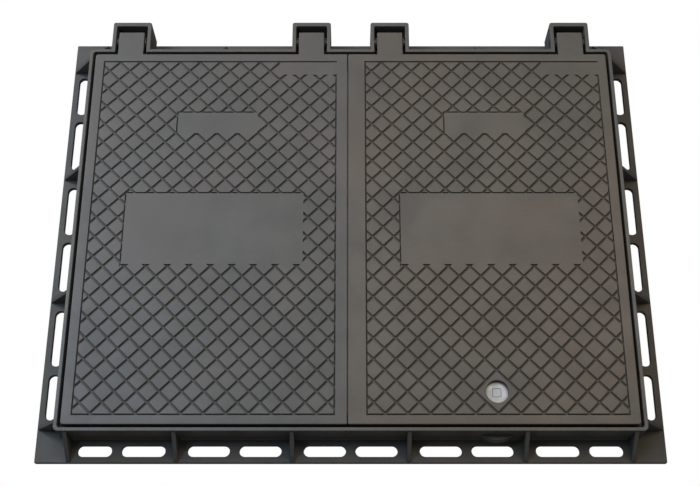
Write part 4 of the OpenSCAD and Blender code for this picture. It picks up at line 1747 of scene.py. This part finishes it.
@dataclass
class HingeHardware:
    """Pins, snap rings and spacers of the four hinges."""

    hinges: HingePlan
    pin_r: float = 7.0
    groove_r: float = 6.2
    ring_r: float = 11.0
    ring_at: Point = (25.9, 27.4)
    spacer_r: Point = (7.05, 12.0)
    spacer_at: Point = (22.7, 25.7)
    spacer_round: float = 0.5
    ring_ease: float = 0.2
    ring_gap: float = 36.0
    lug_at: Point = (8.75, 22.0)
    play: float = 0.05

    def pin(self, x: float) -> BMesh:
        """Build one pin.

        Args:
            x: Its middle.

        Returns:
            The pin.
        """
        half = self.hinges.pocket_outer_w / 2
        a, b = self.ring_at
        r, g, play = self.pin_r, self.groove_r, self.play
        one_end = [(r, a - play), (g, a - play), (g, b + play), (r, b + play), (r, half - 1.0)]
        one_end += [(r - 0.3, half - 0.3), (r - 1.0, half), (1.8, half), (0.0, half - 1.4)]
        profile = [(p, -z) for p, z in reversed(one_end)] + one_end
        return along_x(turned(profile, steps=56), (x, self.hinges.axis_y, self.hinges.axis_z))

    def ring(self, x: float, side: int) -> BMesh:
        """Build one open snap ring with its two lugs.

        Args:
            x: The tab's middle.
            side: Which side of the tab.

        Returns:
            The ring.
        """
        a, b = self.ring_at
        inner, outer = self.groove_r + 0.02, self.ring_r - 1.6
        e, gap = self.ring_ease, self.ring_gap
        bm = turned(eased(inner, outer, a, b, e), closed=True, steps=48, angle=math.radians(360 - gap))
        bmesh.ops.rotate(
            bm, verts=bm.verts[:], cent=(0, 0, 0), matrix=Matrix.Rotation(math.radians(gap / 2), 3, "Z")
        )
        parts = [bm]
        out, aside = self.lug_at
        for turn in (aside, -aside):
            section = [(0.85, a), (2.0, a), (2.2, a + e), (2.2, b - e), (2.0, b), (0.85, b)]
            spot = Matrix.Rotation(math.radians(turn), 4, "Z") @ Matrix.Translation((out, 0, 0))
            parts.append(moved(turned(section, closed=True, steps=20), spot))
        whole = gather(parts)
        if side < 0:
            bmesh.ops.scale(whole, vec=(1, 1, -1), verts=whole.verts[:])
        return along_x(mend(whole), (x, self.hinges.axis_y, self.hinges.axis_z))

    def spacer(self, x: float, side: int) -> BMesh:
        """Build one spacer with eased edges.

        Args:
            x: The tab's middle.
            side: Which side of the tab.

        Returns:
            The spacer.
        """
        a, b = self.spacer_at
        inner, outer = self.spacer_r
        e, mid = self.spacer_round, 0.3 * self.spacer_round
        outline = [(inner, a + e), (inner + e, a), (outer - e, a), (outer - mid, a + mid), (outer, a + e)]
        outline += [(outer, b - e), (outer - mid, b - mid), (outer - e, b), (inner + e, b), (inner, b - e)]
        bm = turned(outline, closed=True, steps=56)
        if side < 0:
            bmesh.ops.scale(bm, vec=(1, 1, -1), verts=bm.verts[:])
        return along_x(mend(bm), (x, self.hinges.axis_y, self.hinges.axis_z))


@dataclass
class Lock:
    """The quarter-turn lock: spindle, tongue and what holds them."""

    place: Vector
    head: tuple[float, float, float] = (18.6, 44.0, 52.0)
    journal: Point = (10.0, 31.0)
    square: tuple[float, float, float] = (14.0, 23.0, 31.0)
    stud: tuple[float, float, float] = (6.0, 6.5, 23.0)
    socket: Point = (13.0, 5.0)
    tongue_half: float = 11.0
    hub_r: float = 17.0
    tongue_hole: float = 14.2
    wave: Point = (10.3, 0.6)
    plate_bore: float = 6.3
    nut_bore: Point = (6.02, 7.1)
    wire_r: float = 0.75
    leg_r: float = 1.2

    def here(self, bm: BMesh) -> BMesh:
        """Set a solid made about the Z axis on the lock's axis."""
        return moved(bm, Matrix.Translation((self.place.x, self.place.y, 0)))

    def spindle(self) -> BMesh:
        """Build the spindle with its square key socket.

        Returns:
            The spindle.
        """
        r, low, high = self.head
        jr, jl = self.journal
        middle = (low + high) / 2
        groove = [(r, middle + 1.1), (r - 1.8, middle + 1.1), (r - 1.8, middle - 1.1), (r, middle - 1.1)]
        head = [(0, high), (r - 1.0, high), (r - 0.3, high - 0.3), (r, high - 1.0)] + groove
        head += [(r, low + 0.6), (r - 0.6, low), (jr, low), (jr, jl + 0.4), (jr - 0.4, jl), (0, jl)]
        body = turned(head, steps=96)
        w, sl, sh = self.square
        square = lofted_block((0.0, 0.0), (w / 2, w / 2), 1.4, [(sl, -0.4), (sl + 0.4, 0.0), (sh + 1.0, 0.0)])
        body = carve(body, square, Cut.JOIN)
        sr, bottom, top = self.stud
        stud = turned([(0, bottom), (sr - 0.9, bottom), (sr, bottom + 0.9), (sr, top + 1), (0, top + 1)], steps=40)
        body = carve(body, stud, Cut.JOIN)
        width, depth = self.socket
        s = width / 2
        levels = [(high - depth, 0.0), (high - 0.7, 0.0), (high, 0.7), (high + 2, 0.7)]
        socket = lofted_block((0.0, 0.0), (s, s), 1.0, levels)
        return self.here(carve(body, socket, Cut.REMOVE))

    def plug(self) -> BMesh:
        """Build the dust plug in the key socket, slightly dished.

        Returns:
            The plug.
        """
        low, high = box_mm("socket_plug")
        half = (high.x - low.x) / 2
        top = high.z
        levels = [(low.z, -0.5), (low.z + 0.5, 0.0), (top - 0.4, 0.0), (top - 0.12, -0.06)]
        levels += [(top - 0.03, -0.14), (top, -0.3), (top - 0.05, -3.0)]
        return self.here(lofted_block((0.0, 0.0), (half, half), 1.2, levels))

    def seal_ring(self) -> BMesh:
        """Build the round seal ring.

        Returns:
            The ring.
        """
        low, high = box_mm("spindle_seal_ring")
        outer = (high.x - low.x) / 2
        cord = arc((outer - 1.0, (low.z + high.z) / 2), 1.0, 0, 342, 19)
        return self.here(turned(cord, closed=True, steps=96))

    def tongue(self) -> BMesh:
        """Build the tongue with its square hole.

        Returns:
            The tongue.
        """
        low, high = box_mm("lock_tongue")
        reach = high.x - self.place.x
        half, hub = self.tongue_half, self.hub_r
        turn = math.degrees(math.asin(half / hub))
        tip = math.degrees(math.asin((half - 3) / reach))
        shoulder = reach * math.cos(math.radians(tip)) - 3
        outline = arc((0, 0), hub, turn, 360 - turn, 40) + [(shoulder, -half)]
        outline += arc((0, 0), reach, -tip, tip, 8) + [(shoulder, half)]
        body = moved(slab(outline, high.z - low.z, rounding=0.8, segments=3), Matrix.Translation((0, 0, low.z)))
        side = self.tongue_hole / 2
        hole = lofted_block((0.0, 0.0), (side, side), 1.4, [(low.z - 1, 0.0), (high.z + 1, 0.0)])
        return self.here(carve(body, hole, Cut.REMOVE))

    def wave_washer(self) -> BMesh:
        """Build the wave washer, a thin ring with three waves.

        Returns:
            The washer.
        """
        low, high = box_mm("lock_wave_washer")
        outer = (high.x - low.x) / 2
        inner, thin = self.wave
        middle = (low.z + high.z) / 2
        sway = (high.z - low.z - thin) / 2
        bm = turned(eased(inner, outer, -thin / 2, thin / 2, 0.15), closed=True, steps=96)
        for vert in bm.verts:
            vert.co.z += middle + sway * math.cos(3 * math.atan2(vert.co.y, vert.co.x))
        return self.here(bm)

    def plate_washer(self) -> BMesh:
        """Build the plate washer with eased edges.

        Returns:
            The washer.
        """
        low, high = box_mm("lock_plate_washer")
        outer = (high.x - low.x) / 2
        outline = eased(self.plate_bore, outer, low.z, high.z, 0.35)
        return self.here(turned(outline, closed=True, steps=64))

    def nut(self) -> BMesh:
        """Build the hexagon nut with chamfered corners.

        Returns:
            The nut.
        """
        low, high = box_mm("lock_nut")
        across = (high.y - low.y) / 2
        corner = across / math.cos(math.pi / 6)
        a, b = low.z, high.z
        flats = [math.radians(60 * i) for i in range(6)]
        outline = [(corner * math.cos(angle), corner * math.sin(angle)) for angle in flats]
        body = moved(slab(outline, b - a), Matrix.Translation((0, 0, a)))
        drop = (corner - across) * 0.6
        flat, wide = across - 0.6, corner + 0.4
        ring = [(corner + 4, a - 2), (flat, a - 2), (flat, a), (wide, a + drop + 0.3)]
        ring += [(wide, b - drop - 0.3), (flat, b), (flat, b + 2), (corner + 4, b + 2)]
        body = carve(body, turned(ring, closed=True, steps=72), Cut.REMOVE)
        bore = flared_bore(self.nut_bore[0], self.nut_bore[1], a, b, 1)
        return self.here(carve(body, turned(bore, steps=48), Cut.REMOVE))

    def split_pin(self) -> BMesh:
        """Build the split pin: its eye and one straight leg.

        Returns:
            The pin.
        """
        low, high = box_mm("lock_split_pin")
        z = (low.z + high.z) / 2
        front, back = low.y - self.place.y, high.y - self.place.y
        wire = self.wire_r
        big = (high.z - low.z) / 2 - wire
        eye = turned(arc((big, 0.0), wire, 0, 330, 11), closed=True, steps=40)
        parts = [moved(eye, Matrix.Translation((0, front + big + wire, z)) @ Matrix.Rotation(math.pi / 2, 4, "Y"))]
        leg_r = self.leg_r
        start = front + 2 * big + wire
        profile = [(0, start), (leg_r, start + 0.2), (leg_r, back - 0.8), (leg_r * 0.5, back), (0, back)]
        leg = moved(turned(profile, steps=20), Matrix.Translation((0, 0, z)) @ Matrix.Rotation(-math.pi / 2, 4, "X"))
        return self.here(gather(parts + [leg]))


# ---------------------------------------------------------------- studio


@dataclass(frozen=True)
class Lamp:
    """A soft rectangular light that faces the cover."""

    name: str
    at: tuple[float, float, float]
    size: Point
    power: float
    colour: tuple[float, float, float]

    def add(self) -> None:
        """Add the light."""
        data = bpy.data.lights.new(self.name, "AREA")
        data.shape = "RECTANGLE"
        data.size, data.size_y = self.size
        data.energy = self.power
        data.color = self.colour
        lamp = bpy.data.objects.new(self.name, data)
        lamp.location = self.at
        lamp.rotation_euler = (-Vector(self.at)).to_track_quat("-Z", "Y").to_euler()
        bpy.context.scene.collection.objects.link(lamp)


LAMPS = (
    Lamp("key", (-1.9, 1.15, 1.7), (0.9, 0.9), 48.0, (0.86, 0.93, 1.0)),
    Lamp("overhead", (0.35, 0.95, 2.7), (1.9, 1.4), 25.0, (1.0, 0.96, 0.89)),
    Lamp("cool side", (-1.05, 0.0, 1.9), (0.45, 0.45), 12.0, (0.56, 0.76, 1.0)),
    Lamp("warm side", (1.7, 0.4, 2.3), (1.0, 1.0), 14.0, (1.0, 0.74, 0.42)),
    Lamp("rear fill", (0.2, 3.0, 0.7), (2.4, 1.0), 14.0, (1.0, 0.98, 0.96)),
    Lamp("front fill", (0.3, -3.2, 0.9), (2.4, 1.0), 7.0, (1.0, 0.98, 0.95)),
)


@dataclass
class Studio:
    """Camera, floor and light."""

    camera_at: tuple[float, float, float] = (0.0, -0.794, 1.855)
    camera_tilt: float = 23.07
    lens: float = 60.6
    sensor: float = 36.0
    shift: float = -0.001
    floor_half: float = 12.0
    floor_drop: float = 0.0006
    room_light: float = 0.1

    def camera(self) -> None:
        """Add the camera."""
        data = bpy.data.cameras.new("camera")
        data.lens = self.lens
        data.sensor_width = self.sensor
        data.shift_x = self.shift
        data.clip_start = 0.05
        data.clip_end = 60.0
        camera = bpy.data.objects.new("camera", data)
        camera.location = self.camera_at
        camera.rotation_euler = (math.radians(self.camera_tilt), 0.0, 0.0)
        bpy.context.scene.collection.objects.link(camera)
        bpy.context.scene.camera = camera

    def floor(self) -> None:
        """Add the plain white floor."""
        bm = bmesh.new()
        bmesh.ops.create_grid(bm, x_segments=1, y_segments=1, size=self.floor_half)
        bmesh.ops.translate(bm, verts=bm.verts[:], vec=(0, 0, -self.floor_drop))
        mesh = bpy.data.meshes.new("floor")
        bm.to_mesh(mesh)
        bm.free()
        floor = bpy.data.objects.new("floor", mesh)
        material = bpy.data.materials.new("floor white")
        material.use_nodes = True
        material.node_tree.nodes.clear()
        nodes = Nodes(material.node_tree)
        glow = nodes.add("ShaderNodeEmission", in_Color=(1.0, 1.0, 1.0, 1.0), in_Strength=1.0)
        out = nodes.add("ShaderNodeOutputMaterial")
        material.node_tree.links.new(glow.outputs[0], out.inputs["Surface"])
        mesh.materials.append(material)
        bpy.context.scene.collection.objects.link(floor)
        floor.visible_diffuse = False
        floor.visible_glossy = False
        floor.visible_shadow = False

    def world(self) -> None:
        """Give the room a white backdrop and a weak light of its own."""
        world = bpy.data.worlds.new("room")
        bpy.context.scene.world = world
        world.use_nodes = True
        world.node_tree.nodes.clear()
        nodes = Nodes(world.node_tree)
        path = nodes.add("ShaderNodeLightPath")
        dim = nodes.add("ShaderNodeBackground", in_Color=(0.92, 0.96, 1.0, 1.0), in_Strength=self.room_light)
        white = nodes.add("ShaderNodeBackground", in_Color=(1.0, 1.0, 1.0, 1.0), in_Strength=1.0)
        seen = path.outputs["Is Camera Ray"]
        both = nodes.add("ShaderNodeMixShader", in_0=seen, in_1=dim.outputs[0], in_2=white.outputs[0])
        out = nodes.add("ShaderNodeOutputWorld")
        world.node_tree.links.new(both.outputs[0], out.inputs["Surface"])

    def build(self) -> None:
        """Set up the whole studio."""
        self.camera()
        self.floor()
        self.world()
        for lamp in LAMPS:
            lamp.add()
        bpy.context.scene.view_settings.view_transform = "Standard"


# ---------------------------------------------------------------- assembly


def dress_kept(node: str, material: bpy.types.Material) -> None:
    """Give a CAD node that stays its finish.

    Args:
        node: The node's name.
        material: Its material.
    """
    piece = bpy.data.objects[node]
    for slot in piece.material_slots:
        slot.material = material
    LOG.info("%s: kept", node)


def main() -> None:
    """Build and dress the whole cover."""
    logging.basicConfig(level=logging.INFO, format="%(name)s %(message)s")
    lock_place = joint_mm("lock_turn")
    finishes = Finishes(lock_place * MM)
    hinges = HingePlan()
    pieces: list[Piece] = []

    def add(
        name: str, bm: BMesh, material: bpy.types.Material, body: Body, slot: Slot, *nodes: str,
        sharp: float = 40.0,
    ) -> None:
        """Place one piece and report it."""
        piece = Piece(name, bm, material, body, slot, nodes, sharp)
        piece.place()
        pieces.append(piece)

    casting = CoverFrame(hinges, lock_place).build()
    add("frame_casting", casting, finishes.frame_iron, Body.FRAME, Slot.FRAME_IRON, "frame", sharp=50.0)
    for body, lock, outer in ((Body.LEFT, None, -1), (Body.RIGHT, lock_place, 1)):
        leaf = Leaf(body.value, hinges, lock, Tread(), outer).build()
        add(f"{body.value}_casting", leaf, finishes.leaf_iron[body], body, Slot.LEAF_IRON, body.value, sharp=74.0)

    strips = SeatStrips()
    for node in strips.nodes:
        add(f"{node}_moulded", strips.build(node), finishes.rubber, Body.FRAME, Slot.RUBBER, node)

    add("joint_seal_extruded", JointSeal().build(), finishes.rubber, Body.RIGHT, Slot.RUBBER, "joint_seal")

    hardware = HingeHardware(hinges)
    for x, name in zip(hinges.tabs, ("left_outer", "left_inner", "right_inner", "right_outer")):
        # The pins' dark finish is part grease, part painted pocket shade.
        add(f"{name}_pin_turned", hardware.pin(x), finishes.pin_steel_greased_shaded, Body.FRAME, Slot.ZINC, f"{name}_hinge_pin")
    for side, tabs in (("left", hinges.tabs[:2]), ("right", hinges.tabs[2:])):
        rings = gather(hardware.ring(x, s) for x in tabs for s in (-1, 1))
        add(f"{side}_rings_open", rings, finishes.spring, Body.FRAME, Slot.SPRING, f"{side}_snap_rings")
        spacers = gather(hardware.spacer(x, s) for x in tabs for s in (-1, 1))
        add(f"{side}_spacers_turned", spacers, finishes.nylon, Body.FRAME, Slot.NYLON, f"{side}_hinge_spacers")

    lock = Lock(lock_place)
    add("spindle_turned", lock.spindle(), finishes.spindle_zinc, Body.LOCK, Slot.ZINC, "lock_spindle")
    add("socket_plug_moulded", lock.plug(), finishes.plug, Body.LOCK, Slot.PLUG, "socket_plug")
    add("seal_ring_moulded", lock.seal_ring(), finishes.rubber, Body.LOCK, Slot.RUBBER, "spindle_seal_ring")
    add("tongue_forged", lock.tongue(), finishes.zinc, Body.LOCK, Slot.ZINC, "lock_tongue")
    add("wave_washer_pressed", lock.wave_washer(), finishes.spring, Body.LOCK, Slot.SPRING, "lock_wave_washer")
    add("plate_washer_pressed", lock.plate_washer(), finishes.zinc, Body.LOCK, Slot.ZINC, "lock_plate_washer")
    add("nut_chamfered", lock.nut(), finishes.zinc, Body.LOCK, Slot.ZINC, "lock_nut")
    add("split_pin_bent", lock.split_pin(), finishes.spring, Body.LOCK, Slot.ZINC, "lock_split_pin")
    dress_kept("lock_bush", finishes.brass)
    dress_kept("lock_bush_screws", finishes.zinc)

    Studio().build()
    LOG.info("%d pieces placed", len(pieces))


if __name__ == "__main__":
    main()
